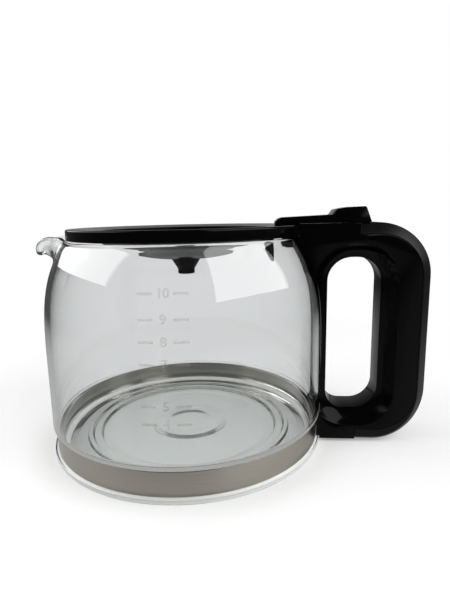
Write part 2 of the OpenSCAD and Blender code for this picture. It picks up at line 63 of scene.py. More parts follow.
# Nearly all values of a noise lie between these
NOISE_SPAN: Flat = (0.3, 0.7)
WHITE = (1.0, 1.0, 1.0, 1.0)
# How far a cutter reaches past what it cuts
OVERRUN = 3.0
# The lid's middle stands a little nearer the handle than the jug's
LID_X = 1.2
# Where the hinge pin lies, along x and z
HINGE: Flat = (97.5, 110.2)
log = logging.getLogger("carafe")


class Body(Enum):
    """The moving bodies of the frame."""

    JUG = "jug"
    LID = "lid"


class Joining(Enum):
    """How one solid acts on another."""

    CUT = "DIFFERENCE"
    WELD = "UNION"


def linear(code: str) -> tuple[float, float, float, float]:
    """Turn an sRGB hex colour into linear RGBA.

    Args:
        code: Six hex digits, such as "1a1b1c".

    Returns:
        Red, green, blue and alpha, linear, from 0 to 1.
    """
    shares = [int(code[i:i + 2], 16) / 255 for i in (0, 2, 4)]
    red, green, blue = (s / 12.92 if s <= 0.04045 else ((s + 0.055) / 1.055) ** 2.4 for s in shares)
    return red, green, blue, 1.0


def add_node(tree: NodeTree, kind: str, inputs: dict | None = None, **settings: object) -> Node:
    """Add one node with its settings, its input values and its links.

    Args:
        tree: The tree that takes the node.
        kind: Blender's name for the node's type.
        inputs: By input name or number, its value, or the socket that feeds it. A node feeds it by its first
            output, and a list holds everything that feeds an input that takes several.
        **settings: The node's own properties.

    Returns:
        The new node.
    """
    node = tree.nodes.new(kind)
    for name, value in settings.items():
        setattr(node, name, value)
    for key, value in (inputs or {}).items():
        for source in value if isinstance(value, list) else [value]:
            if isinstance(source, Node):
                source = source.outputs[0]
            if isinstance(source, NodeSocket):
                tree.links.new(source, node.inputs[key])
            else:
                node.inputs[key].default_value = source
    return node


def new_material(name: str) -> tuple[Material, NodeTree]:
    """Make a material with an empty tree.

    Args:
        name: The material's name.

    Returns:
        The material and its tree.
    """
    material = bpy.data.materials.new(name)
    material.use_nodes = True
    material.node_tree.nodes.clear()
    return material, material.node_tree


def uneven_skin(tree: NodeTree, apart_mm: float, height_mm: float,
                detail: float = 2.0) -> tuple[Node, Node]:
    """Give a surface low, random unevenness that keeps its place on the object.

    Args:
        tree: The material's tree.
        apart_mm: How far apart the rises are.
        height_mm: How high they stand.
        detail: How much finer unevenness they carry.

    Returns:
        The noise and the bump made of it.
    """
    place = add_node(tree, "ShaderNodeTexCoord").outputs["Object"]
    noise = add_node(tree, "ShaderNodeTexNoise", {
        "Vector": place, "Scale": 1 / (apart_mm * MM), "Detail": detail})
    return noise, add_node(tree, "ShaderNodeBump", {"Height": noise, "Distance": height_mm * MM})


@dataclass(frozen=True)
class BlownGlass:
    """Borosilicate glass blown in a mould: clear, and grey-green where the eye looks along the wall."""

    name: str = "borosilicate_glass"
    tint: str = "f1f2f3"
    shade_tint: str = "f8faf9"
    depth_tint: str = "b1b4a0"
    depth_per_m: float = 20.0
    ior: float = 1.474
    ripple_mm: float = 30.0
    ripple_height_mm: float = 0.05
    swirl_mm: float = 22.0
    swirl_height_mm: float = 0.18
    swirl_twist: float = 0.6
    swirl_z_mm: Flat = (14.0, 7.0)

    def make(self) -> Material:
        """Make the glass; lamps shine through it, so that it throws a pale shadow.

        Returns:
            The material.
        """
        material, tree = new_material(self.name)
        _, ripple = uneven_skin(tree, self.ripple_mm, self.ripple_height_mm, 0.0)
        # The thick floor cools last and keeps the swirls of the gob that it was blown from
        place = add_node(tree, "ShaderNodeTexCoord").outputs["Object"]
        swirl = add_node(tree, "ShaderNodeTexNoise", {
            "Vector": place, "Scale": 1 / (self.swirl_mm * MM), "Detail": 0.0,
            "Distortion": self.swirl_twist})
        height = add_node(tree, "ShaderNodeSeparateXYZ", {"Vector": place}).outputs["Z"]
        low = add_node(tree, "ShaderNodeMapRange", {
            "Value": height, "From Min": self.swirl_z_mm[0] * MM, "From Max": self.swirl_z_mm[1] * MM})
        depth = add_node(tree, "ShaderNodeMath", {0: swirl, 1: low}, operation="MULTIPLY")
        uneven = add_node(tree, "ShaderNodeBump", {
            "Height": depth, "Distance": self.swirl_height_mm * MM, "Normal": ripple})
        glass = add_node(tree, "ShaderNodeBsdfPrincipled", {
            "Base Color": linear(self.tint), "Roughness": 0.0, "IOR": self.ior, "Transmission Weight": 1.0,
            "Normal": uneven})
        through = add_node(tree, "ShaderNodeBsdfTransparent", {"Color": linear(self.shade_tint)})
        shadow = add_node(tree, "ShaderNodeLightPath").outputs["Is Shadow Ray"]
        either = add_node(tree, "ShaderNodeMixShader", {0: shadow, 1: glass, 2: through})
        body = add_node(tree, "ShaderNodeVolumeAbsorption", {
            "Color": linear(self.depth_tint), "Density": self.depth_per_m})
        add_node(tree, "ShaderNodeOutputMaterial", {"Surface": either, "Volume": body})
        return material


@dataclass(frozen=True)
class BrushedSteel:
    """Stainless steel strip, brushed along its length: fine lines that draw highlights out across them."""

    name: str = "brushed_stainless_steel"
    colour: str = "cbc6bc"
    dark_line: str = "b3aea4"
    roughness: float = 0.36
    brushed: float = 0.8
    brushed_turn: float = 0.25
    line_mm: float = 0.22
    line_length_mm: float = 18.0
    line_height_mm: float = 0.004
    line_detail: float = 3.0
    line_unevenness: float = 0.6

    def make(self) -> Material:
        """Make the steel, whose lines follow the strap's own UV map in metres.

        Returns:
            The material.
        """
        material, tree = new_material(self.name)
        along = add_node(tree, "ShaderNodeUVMap", uv_map="UVMap")
        # Drawn coarser than real brushing, so that it shows in the render
        stretch = add_node(tree, "ShaderNodeMapping", {
            "Vector": along, "Scale": (1 / (self.line_length_mm * MM), 1 / (self.line_mm * MM), 1.0)})
        lines = add_node(tree, "ShaderNodeTexNoise", {
            "Vector": stretch, "Scale": 1.0, "Detail": self.line_detail, "Roughness": self.line_unevenness},
            noise_dimensions="2D")
        colour = add_node(tree, "ShaderNodeMix", {
            "Factor": lines, 6: linear(self.dark_line), 7: linear(self.colour)}, data_type="RGBA")
        bump = add_node(tree, "ShaderNodeBump", {"Height": lines, "Distance": self.line_height_mm * MM})
        steel = add_node(tree, "ShaderNodeBsdfPrincipled", {
            "Base Color": colour.outputs[2], "Metallic": 1.0, "Roughness": self.roughness,
            "Anisotropic": self.brushed, "Anisotropic Rotation": self.brushed_turn, "Normal": bump})
        add_node(tree, "ShaderNodeOutputMaterial", {"Surface": steel})
        return material


@dataclass(frozen=True)
class TurnedSteel:
    """Zinc-plated steel of small screws, nuts and pins: even, with the blur of fine turning marks."""

    name: str = "turned_steel"
    colour: str = "b4b4b2"
    roughness: float = 0.32
    mark_mm: float = 0.35
    mark_height_mm: float = 0.006

    def make(self) -> Material:
        """Make the steel.

        Returns:
            The material.
        """
        material, tree = new_material(self.name)
        _, bump = uneven_skin(tree, self.mark_mm, self.mark_height_mm)
        steel = add_node(tree, "ShaderNodeBsdfPrincipled", {
            "Base Color": linear(self.colour), "Metallic": 1.0, "Roughness": self.roughness, "Normal": bump})
        add_node(tree, "ShaderNodeOutputMaterial", {"Surface": steel})
        return material


@dataclass(frozen=True)
class MouldedPlastic:
    """Injection-moulded polypropylene: its gloss follows the mould's polish, never quite a mirror."""

    name: str
    colour: str
    roughness: float
    specular: float
    grain_mm: float
    grain_height_mm: float
    rough_spread: float = 0.04
    ior: float = 1.49

    def make(self) -> Material:
        """Make the plastic.

        Returns:
            The material.
        """
        material, tree = new_material(self.name)
        grain, bump = uneven_skin(tree, self.grain_mm, self.grain_height_mm)
        polish = add_node(tree, "ShaderNodeMapRange", {
            "Value": grain, "From Min": NOISE_SPAN[0], "From Max": NOISE_SPAN[1],
            "To Min": self.roughness - self.rough_spread, "To Max": self.roughness + self.rough_spread})
        plastic = add_node(tree, "ShaderNodeBsdfPrincipled", {
            "Base Color": linear(self.colour), "IOR": self.ior, "Specular IOR Level": self.specular,
            "Normal": bump, "Roughness": polish})
        add_node(tree, "ShaderNodeOutputMaterial", {"Surface": plastic})
        return material


@dataclass(frozen=True)
class FiredEnamel:
    """Ceramic ink of the cup scale, fired on the glass: thin, matt and a little see-through."""

    name: str = "fired_enamel"
    colour: str = "a6a898"
    cover: float = 0.15
    cover_spread: float = 0.06
    roughness: float = 0.6
    fleck_mm: float = 0.4

    def make(self) -> Material:
        """Make the ink, a little uneven in its cover.

        Returns:
            The material.
        """
        material, tree = new_material(self.name)
        place = add_node(tree, "ShaderNodeTexCoord").outputs["Object"]
        fleck = add_node(tree, "ShaderNodeTexNoise", {
            "Vector": place, "Scale": 1 / (self.fleck_mm * MM), "Detail": 2.0})
        cover = add_node(tree, "ShaderNodeMapRange", {
            "Value": fleck, "From Min": NOISE_SPAN[0], "From Max": NOISE_SPAN[1],
            "To Min": self.cover - self.cover_spread, "To Max": self.cover + self.cover_spread})
        ink = add_node(tree, "ShaderNodeBsdfPrincipled", {
            "Base Color": linear(self.colour), "Roughness": self.roughness, "Alpha": cover})
        add_node(tree, "ShaderNodeOutputMaterial", {"Surface": ink})
        return material


class Finishes:
    """Every finish on the carafe, made once."""

    def __init__(self) -> None:
        """Make the finishes."""
        self.glass = BlownGlass().make()
        self.band = BrushedSteel().make()
        self.fastener = TurnedSteel().make()
        self.handle = MouldedPlastic(
            "gloss_black_polypropylene", "030304", roughness=0.12, specular=0.11, grain_mm=6.0,
            grain_height_mm=0.003, rough_spread=0.02).make()
        self.cover = MouldedPlastic(
            "satin_black_polypropylene", "08080a", roughness=0.36, specular=0.22, grain_mm=0.5,
            grain_height_mm=0.006).make()
        self.lid = MouldedPlastic(
            "lid_black_polypropylene", "050405", roughness=0.16, specular=0.15, grain_mm=5.0,
            grain_height_mm=0.004).make()
        self.scale = FiredEnamel().make()


def rounded(corners: list[Corner], steps: int = 5, closed: bool = False) -> list[Flat]:
    """Round the corners of a line.

    Args:
        corners: The line's corners; a radius of 0 keeps the point as it is.
        steps: Segments in each rounding.
        closed: Whether the last point joins the first.

    Returns:
        The line's points.
    """
    line: list[Flat] = []
    for i, (x, z, radius) in enumerate(corners):
        if radius <= 0 or not closed and i in (0, len(corners) - 1):
            line.append((x, z))
            continue
        here = Vector((x, z))
        before = Vector(corners[i - 1][:2]) - here
        after = Vector(corners[(i + 1) % len(corners)][:2]) - here
        half = before.angle(after) / 2
        reach = min(radius / math.tan(half), min(before.length, after.length) * ROUNDED_SHARE)
        radius = reach * math.tan(half)
        middle = here + (before.normalized() + after.normalized()).normalized() * (radius / math.sin(half))
        first = here + before.normalized() * reach - middle
        turn = first.angle_signed(here + after.normalized() * reach - middle)
        for step in range(steps + 1):
            spoke = Matrix.Rotation(-turn * step / steps, 2) @ first
            line.append((middle.x + spoke.x, middle.y + spoke.y))
    return line


def spline(points: list[Flat], steps: int) -> list[Flat]:
    """Run a smooth curve through a few points.

    Args:
        points: Points that the curve passes.
        steps: Segments in the whole curve.

    Returns:
        The curve's points, spread by the number of the point passed.
    """
    ends = [points[0], *points, points[-1]]
    curve = []
    for i in range(steps + 1):
        place = i / steps * (len(points) - 1)
        k = min(int(place), len(points) - 2)
        t = place - k
        p0, p1, p2, p3 = (Vector(ends[k + j]) for j in range(4))
        spot = 0.5 * (2 * p1 + (p2 - p0) * t + (2 * p0 - 5 * p1 + 4 * p2 - p3) * t * t
                      + (3 * p1 - p0 - 3 * p2 + p3) * t * t * t)
        curve.append((spot.x, spot.y))
    return curve


def evened(line: list[Flat], steps: int) -> list[Flat]:
    """Spread points evenly along a line.

    Args:
        line: The line's points.
        steps: Segments wanted.

    Returns:
        The new points.
    """
    lengths = [0.0]
    for a, b in zip(line, line[1:]):
        lengths.append(lengths[-1] + math.dist(a, b))
    spread = []
    k = 0
    for i in range(steps + 1):
        want = lengths[-1] * i / steps
        while k < len(line) - 2 and lengths[k + 1] < want:
            k += 1
        t = (want - lengths[k]) / max(lengths[k + 1] - lengths[k], 1e-9)
        spread.append((line[k][0] + (line[k + 1][0] - line[k][0]) * t,
                       line[k][1] + (line[k + 1][1] - line[k][1]) * t))
    return spread


def smooth_step(share: float) -> float:
    """Ease a share from 0 to 1, level at both ends."""
    return share * share * (3 - 2 * share)


def lofted(name: str, rings: list[list[Point]], finish: Material | None = None, around: bool = False,
           open_rings: bool = False) -> Object:
    """Join rings of points in millimetres, each to the next, into one closed piece.

    Args:
        name: The piece's name.
        rings: The rings, all with the same number of points.
        finish: Its material; a cutter needs none.
        around: Whether the last ring joins the first; if not, the first and the last are faces.
        open_rings: Whether a ring's last point stays apart from its first, both being on the piece's axis.

    Returns:
        The new object, at the origin, with its place in its mesh.
    """
    points = [tuple(c * MM for c in point) for ring in rings for point in ring]
    count, last = len(rings[0]), len(points) - 1
    faces = [] if around else [list(range(count)), list(range(last, last - count, -1))]
    for k in range(len(rings) if around else len(rings) - 1):
        here, there = k * count, (k + 1) % len(rings) * count
        for i in range(count - 1 if open_rings else count):
            j = (i + 1) % count
            faces.append([here + i, here + j, there + j, there + i])
    mesh = bpy.data.meshes.new(name)
    mesh.from_pydata(points, [], faces)
    shape = bmesh.new()
    shape.from_mesh(mesh)
    bmesh.ops.remove_doubles(shape, verts=shape.verts, dist=WELD_MM * MM)
    bmesh.ops.dissolve_degenerate(shape, edges=shape.edges, dist=WELD_MM / 2 * MM)
    bmesh.ops.recalc_face_normals(shape, faces=shape.faces)
    shape.to_mesh(mesh)
    shape.free()
    if finish:
        mesh.materials.append(finish)
    piece = bpy.data.objects.new(name, mesh)
    bpy.context.scene.collection.objects.link(piece)
    smoothed(piece)
    return piece


def revolved(name: str, line: list[Flat], centre_x: float, finish: Material | None = None,
             steps: int = 192) -> Object:
    """Turn an outline round an upright axis.

    Args:
        name: The piece's name.
        line: The outline as radius and height, closed by itself or ending on the axis at both ends.
        centre_x: Where the axis stands.
        finish: Its material.
        steps: Columns round the axis.

    Returns:
        The new piece.
    """
    turns = [2 * math.pi * k / steps for k in range(steps)]
    rings = [[(centre_x + r * math.cos(turn), r * math.sin(turn), z) for r, z in line] for turn in turns]
    return lofted(name, rings, finish, around=True, open_rings=line[0][0] == 0 and line[-1][0] == 0)


def prism(name: str, outline: list[Flat], y: Flat, finish: Material | None = None) -> Object:
    """Stretch a closed outline in x and z from one place along y to another."""
    return lofted(name, [[(x, side, z) for x, z in outline] for side in y], finish)


def block(x: Flat, y: Flat, z: Flat) -> Object:
    """Make a square-cornered cutter, given where it starts and ends along each axis."""
    return prism("block", [(x[0], z[0]), (x[1], z[0]), (x[1], z[1]), (x[0], z[1])], y)


def drill(x: float, z: float, radius: float, y: Flat, steps: int = 48) -> Object:
    """Make a round cutter along y, given its axis, its radius and where it starts and ends."""
    turns = [2 * math.pi * i / steps for i in range(steps)]
    return prism("drill", [(x + radius * math.cos(t), z + radius * math.sin(t)) for t in turns], y)


def bore(x: float, radius: float, z: Flat, steps: int = 48) -> Object:
    """Make an upright round cutter on y = 0, given its axis, its radius and where it starts and ends."""
    return revolved("bore", [(0, z[0]), (radius, z[0]), (radius, z[1]), (0, z[1])], x, steps=steps)


def bevelled(piece: Object, width_mm: float, segments: int, least_deg: float = 25.0) -> None:
    """Round a piece's edges as a mould does, and keep its flats flat to the eye.

    Args:
        piece: The piece.
        width_mm: Width of the rounding.
        segments: Faces across it.
        least_deg: Edges flatter than this stay as they are.
    """
    bevel = piece.modifiers.new("rounding", "BEVEL")
    bevel.width = width_mm * MM
    bevel.segments = segments
    bevel.limit_method = "ANGLE"
    bevel.angle_limit = math.radians(least_deg)
    bevel.harden_normals = True
    apply_modifiers(piece)


def combined(piece: Object, others: list[Object], joining: Joining) -> None:
    """Cut solids out of a piece or weld them to it, and remove them.

    Args:
        piece: The piece.
        others: The solids.
        joining: Which of the two.
    """
    for other in others:
        knife = piece.modifiers.new("combine", "BOOLEAN")
        knife.operation = joining.value
        knife.solver = "EXACT"
        knife.object = other
        apply_modifiers(piece)
        bpy.data.objects.remove(other)
    smoothed(piece)


def smoothed(piece: Object) -> None:
    """Shade a piece smooth, but for its sharp edges."""
    piece.data.shade_smooth()
    piece.data.set_sharp_from_angle(angle=math.radians(SHARP_DEG))


def apply_modifiers(piece: Object) -> None:
    """Turn a piece's modifiers into its plain mesh.

    Args:
        piece: The piece.
    """
    bpy.context.view_layer.update()
    solid = bpy.data.meshes.new_from_object(piece.evaluated_get(bpy.context.evaluated_depsgraph_get()))
    piece.modifiers.clear()
    piece.data = solid


def settle(piece: Object, body: Body, node: str | None = None) -> None:
    """Let a piece ride on its body and stand for its node.

    Args:
        piece: The finished piece.
        body: The body that carries it.
        node: The frame's node that it stands for, or None for what the frame doesn't hold.
    """
    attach(piece, body.value)
    if node:
        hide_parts(node)
    log.info("%s: %d faces", piece.name, len(piece.data.polygons))


@dataclass
class GlassJug:
    """The blown jug: a straight body with a groove for the band, a drawn-in shoulder and a drawn lip."""

    glass: Material
    body_r: float = 71.6
    wall: float = 2.5
    lip_wall: float = 2.2
    shoulder_z: float = 44.0
    shoulder_span: float = 61.2
    shoulder_run: float = 12.1
    shoulder_power: float = 3.75
    upright_z: float = 103.5
    neck_z: float = 74.0
    rim_z: float = 106.1
    lip_half_deg: float = 22.0
    lip_softness: float = 0.55
    lip_sharpness: float = 2.5
    lip_line: tuple[Flat, ...] = ((69.5, 74.0), (68.7, 79.5), (66.9, 84.8), (66.0, 88.6), (67.9, 92.9),
                                  (71.7, 96.5), (75.5, 97.9), (78.4, 97.4))
    crest_x: float = 67.3
    crest_rise: float = 9.4
    crest_base: float = 98.2
    crest_half: float = 11.3
    rim_to_tip: float = 18.6
    plain_rim_x: float = 59.8
    rise_share: float = 0.16
    foot: tuple[Corner, ...] = (
        (0, 0.7, 0), (13.5, 0.7, 3.0), (18.5, 0.5, 3.0), (42.5, 0.5, 3.0), (46.5, 0.9, 3.0),
        (60.0, 0.9, 3.0), (65.0, 0, 2.0), (71.6, 0, 2.4), (71.6, 2.8, 0.3), (69.2, 2.9, 0.4),
        (69.2, 14.6, 0.3), (71.6, 15.6, 0.9), (71.6, 44.0, 0))
    floor: tuple[Corner, ...] = (
        (69.1, 44.0, 0), (69.1, 16.9, 2.0), (66.75, 14.2, 2.5), (66.7, 5.6, 5.0), (55.3, 5.6, 0.8),
        (54.3, 6.3, 0.8), (52.6, 6.3, 0.8), (51.6, 5.2, 0.8), (48.2, 5.2, 1.0), (47.0, 4.2, 1.0),
        (21.0, 4.2, 2.5), (18.0, 5.1, 2.5), (12.2, 5.1, 2.0), (9.2, 4.7, 2.0), (0, 4.7, 0))
    shoulder_rows: int = 12
    neck_rows: int = 36
    trace_steps: int = 60
    bead_rows: int = 6
    plain_bead: float = 0.45
    lip_swell: float = 0.5
    swell_rows: int = 5
    lip_step_deg: float = 0.5
    plain_step_deg: float = 1.5
    lip_margin_deg: float = 1.0

    def middle_r(self, z: float) -> float:
        """Give the radius of the wall's middle at a height of the plain shoulder, upright at the rim.

        Args:
            z: The height.

        Returns:
            The radius.
        """
        over = max(z - self.upright_z, 0)
        leaning = z - over * over / (2 * (self.rim_z - self.upright_z))
        rise = max(leaning - self.shoulder_z, 0) / self.shoulder_span
        return self.body_r - self.wall / 2 - self.shoulder_run * rise ** self.shoulder_power

    def lip_share(self, turn: float) -> float:
        """Give how much of the lip's shape a column of the wall takes.

        Args:
            turn: The column's angle from the lip, in degrees.

        Returns:
            1 in the middle of the lip, 0 where the rim is plain.
        """
        away = abs(turn) / self.lip_half_deg
        if away >= 1:
            return 0.0
        soft = self.lip_softness
        eased = (math.hypot(away, soft) - soft) / (math.hypot(1, soft) - soft)
        return (1 - eased) ** self.lip_sharpness

    def edge_z(self, share: float) -> float:
        """Give the height of the rim's edge where it takes a share of the lip's shape.

        Args:
            share: The lip's share.

        Returns:
            The height of the wall's middle at its edge.
        """
        reach = max(self.plain_rim_x + self.rim_to_tip * share - self.crest_x, 0)
        crest = self.crest_base + self.crest_rise * math.sqrt(max(1 - (reach / self.crest_half) ** 2, 0))
        rise = min(share / self.rise_share, 1)
        return self.rim_z + (crest - self.rim_z) * (1 - math.cos(math.pi * rise)) / 2

    def wall_line(self, share: float) -> list[Flat]:
        """Draw the wall's middle from the body up to the edge.

        Args:
            share: The lip's share.

        Returns:
            Radius and height of each point.
        """
        rows, steps = self.shoulder_rows, self.trace_steps
        low = [self.shoulder_z + (self.neck_z - self.shoulder_z) * i / rows for i in range(rows)]
        high = [self.neck_z + (self.rim_z - self.neck_z) * i / steps for i in range(steps + 1)]
        plain = evened([(self.middle_r(z), z) for z in high], self.neck_rows)
        drawn = evened(spline(list(self.lip_line), 2 * steps), self.neck_rows)
        neck = [(p[0] + (q[0] - p[0]) * share, p[1] + (q[1] - p[1]) * share) for p, q in zip(plain, drawn)]
        lift = self.edge_z(share) - neck[-1][1]
        line = [(self.middle_r(z), z) for z in low]
        return line + [(r, z + lift * (i / self.neck_rows) ** 2) for i, (r, z) in enumerate(neck)]

    def columns(self) -> list[float]:
        """Space the wall's columns, closer together in the lip.

        Returns:
            Their angles from the lip, in degrees.
        """
        step = self.lip_step_deg
        near = round((self.lip_half_deg + self.lip_margin_deg) / step)
        rest = 360 - 2 * near * step
        count = round(rest / self.plain_step_deg)
        turns = [i * step for i in range(-near, near + 1)]
        return turns + [near * step + rest * i / count for i in range(1, count)]

    def build(self) -> Object:
        """Blow the jug.

        Returns:
            The jug.
        """
        turns = self.columns()
        shares = [self.lip_share(turn if turn < 180 else turn - 360) for turn in turns]
        spokes = [Vector((-math.cos(math.radians(t)), math.sin(math.radians(t)), 0)) for t in turns]
        middle = [[Vector((s.x * r, s.y * r, z)) for r, z in self.wall_line(share)]
                  for s, share in zip(spokes, shares)]
        foot, floor = rounded(list(self.foot))[:-1], rounded(list(self.floor))[1:]
        rows = len(middle[0])
        angles = [math.pi * i / (self.bead_rows + 1) for i in range(1, self.bead_rows + 1)]
        rings = []
        for k, (spoke, share) in enumerate(zip(spokes, shares)):
            plain = (self.wall + (self.lip_wall - self.wall) * share) / 2
            before, here, after = middle[k - 1], middle[k], middle[(k + 1) % len(turns)]
            outside, inside = [], []
            for i in range(rows):
                near = max(1 - (rows - 1 - i) / self.swell_rows, 0)
                half = plain * (1 + self.lip_swell * share * smooth_step(near))
                up = (here[min(i + 1, rows - 1)] - here[max(i - 1, 0)]).normalized()
                out = up.cross(after[i] - before[i]).normalized()
                outside.append(here[i] + out * half)
                inside.append(here[i] - out * half)
            crown = self.plain_bead + (1 - self.plain_bead) * share
            bead = [here[-1] + (out * math.cos(a) + up * math.sin(a) * crown) * half for a in angles]
            under, over = ([(spoke.x * r, spoke.y * r, z) for r, z in line] for line in (foot, floor))
            rings.append([*under, *outside, *bead, *inside[::-1], *over])
        return lofted("blown_glass_jug", rings, self.glass, around=True, open_rings=True)

    def dress(self) -> None:
        """Build the jug and let it stand for its node."""
        settle(self.build(), Body.JUG, "glass_jug")


def new_maker(name: str, sizes: list[str]) -> tuple[NodeTree, NodeOutputs]:
    """Start a tree that makes a piece from a carrier's mesh.

    Args:
        name: The tree's name.
        sizes: Names of the inputs that take its sizes.

    Returns:
        The tree, and what its inputs give.
    """
    tree = bpy.data.node_groups.new(name, "GeometryNodeTree")
    kinds = {"Geometry": "Geometry", **{size: "Float" for size in sizes}, "Finish": "Material"}
    for label, kind in kinds.items():
        tree.interface.new_socket(label, in_out="INPUT", socket_type=f"NodeSocket{kind}")
    tree.interface.new_socket("Geometry", in_out="OUTPUT", socket_type="NodeSocketGeometry")
    return tree, add_node(tree, "NodeGroupInput").outputs


def end_maker(tree: NodeTree, shape: Node, finish: NodeSocket) -> None:
    """End a tree with real geometry in its finish.

    Args:
        tree: The tree.
        shape: The node that gives the shape.
        finish: The socket that gives the material.
    """
    real = add_node(tree, "GeometryNodeRealizeInstances", {"Geometry": shape})
    coated = add_node(tree, "GeometryNodeSetMaterial", {"Geometry": real, "Material": finish})
    add_node(tree, "NodeGroupOutput", {"Geometry": coated})


def grown(name: str, points: list[Point], edges: list[tuple[int, int]], tree: NodeTree,
          values: dict[str, object]) -> Object:
    """Let a tree make a piece from a carrier's points and edges.

    Args:
        name: The piece's name.
        points: The carrier's points, in millimetres.
        edges: Its edges.
        tree: The tree.
        values: What each named input gets.

    Returns:
        The piece as a plain mesh.
    """
    mesh = bpy.data.meshes.new(name)
    mesh.from_pydata([tuple(c * MM for c in p) for p in points], edges, [])
    piece = bpy.data.objects.new(name, mesh)
    bpy.context.scene.collection.objects.link(piece)
    maker = piece.modifiers.new("maker", "NODES")
    maker.node_group = tree
    for socket in tree.interface.items_tree:
        if socket.in_out == "INPUT" and socket.name in values:
            maker[socket.identifier] = values[socket.name]
    apply_modifiers(piece)
    return piece


@dataclass
class SteelBand:
    """The band: one steel strap bent round the jug, with its two ends turned out to meet the screw."""

    steel: Material
    middle_r: float = 69.65
    thickness: float = 0.7
    height: float = 11.5
    base_z: float = 3.0
    ear_x: float = 80.5
    ear_y: float = 2.85
    bend_r: float = 1.4
    bend_steps: int = 6
    bend_room_deg: float = 2.0
    edge_round: float = 0.16
    edge_steps: int = 4
    steps: int = 240

    def path(self) -> list[Point]:
        """Draw the strap's middle line from one turned-out end to the other.

        Returns:
            The line's points.
        """
        start = math.degrees(math.asin(self.ear_y / self.middle_r)) + self.bend_room_deg
        turns = [math.radians(start + (360 - 2 * start) * i / self.steps) for i in range(self.steps + 1)]
        ring = [(self.middle_r * math.cos(turn), self.middle_r * math.sin(turn)) for turn in turns]
        root = math.sqrt(self.middle_r ** 2 - self.ear_y ** 2)
        bend = rounded([(self.ear_x, self.ear_y, 0), (root, self.ear_y, self.bend_r), (*ring[0], 0)],
                       self.bend_steps)[:-1]
        line = bend + ring + [(x, -y) for x, y in bend[::-1]]
        return [(x, y, self.base_z + self.height / 2) for x, y in line]

    def sweep(self, sizes: list[str]) -> NodeTree:
        """Make the tree that sweeps the strap along a carrier's line of edges.

        Args:
            sizes: Names of its inputs.

        Returns:
            The tree.
        """
        tree, given = new_maker("strap_sweep", sizes)
        path = add_node(tree, "GeometryNodeMeshToCurve", {"Mesh": given["Geometry"]})
        upright = add_node(tree, "GeometryNodeSetCurveNormal", {"Curve": path}, mode="Z_UP")
        kept = add_node(tree, "GeometryNodeCaptureAttribute", {"Geometry": upright})
        kept.capture_items.new("FLOAT", "Along")
        tree.links.new(add_node(tree, "GeometryNodeSplineParameter").outputs["Length"], kept.inputs["Along"])
        section = add_node(tree, "GeometryNodeCurvePrimitiveQuadrilateral", {
            "Height": given["Thickness"], "Width": given["Width"]}, mode="RECTANGLE")
        soft = add_node(tree, "GeometryNodeFilletCurve", {
            "Curve": section, "Radius": given["Rounding"], "Count": self.edge_steps}, mode="POLY")
        turned = add_node(tree, "GeometryNodeTransform", {
            "Geometry": soft, "Rotation": (0, 0, -math.pi / 2)})
        swept = add_node(tree, "GeometryNodeCurveToMesh", {
            "Curve": kept, "Profile Curve": turned, "Fill Caps": True})
        where = add_node(tree, "GeometryNodeInputPosition")
        spot = add_node(tree, "ShaderNodeSeparateXYZ", {"Vector": where}).outputs
        flat = add_node(tree, "ShaderNodeCombineXYZ", {"X": kept.outputs["Along"], "Y": spot["Z"]})
        mapped = add_node(tree, "GeometryNodeStoreNamedAttribute", {
            "Geometry": swept, "Name": "UVMap", "Value": flat}, data_type="FLOAT2", domain="CORNER")
        end_maker(tree, mapped, given["Finish"])
        return tree

    def dress(self) -> None:
        """Bend the strap and let it stand for its node."""
        path = self.path()
        sizes = {"Thickness": self.thickness * MM, "Width": self.height * MM,
                 "Rounding": self.edge_round * MM}
        piece = grown("brushed_steel_band", path, [(i, i + 1) for i in range(len(path) - 1)],
                      self.sweep(list(sizes)), {**sizes, "Finish": self.steel})
        smoothed(piece)
        settle(piece, Body.JUG, "steel_band")


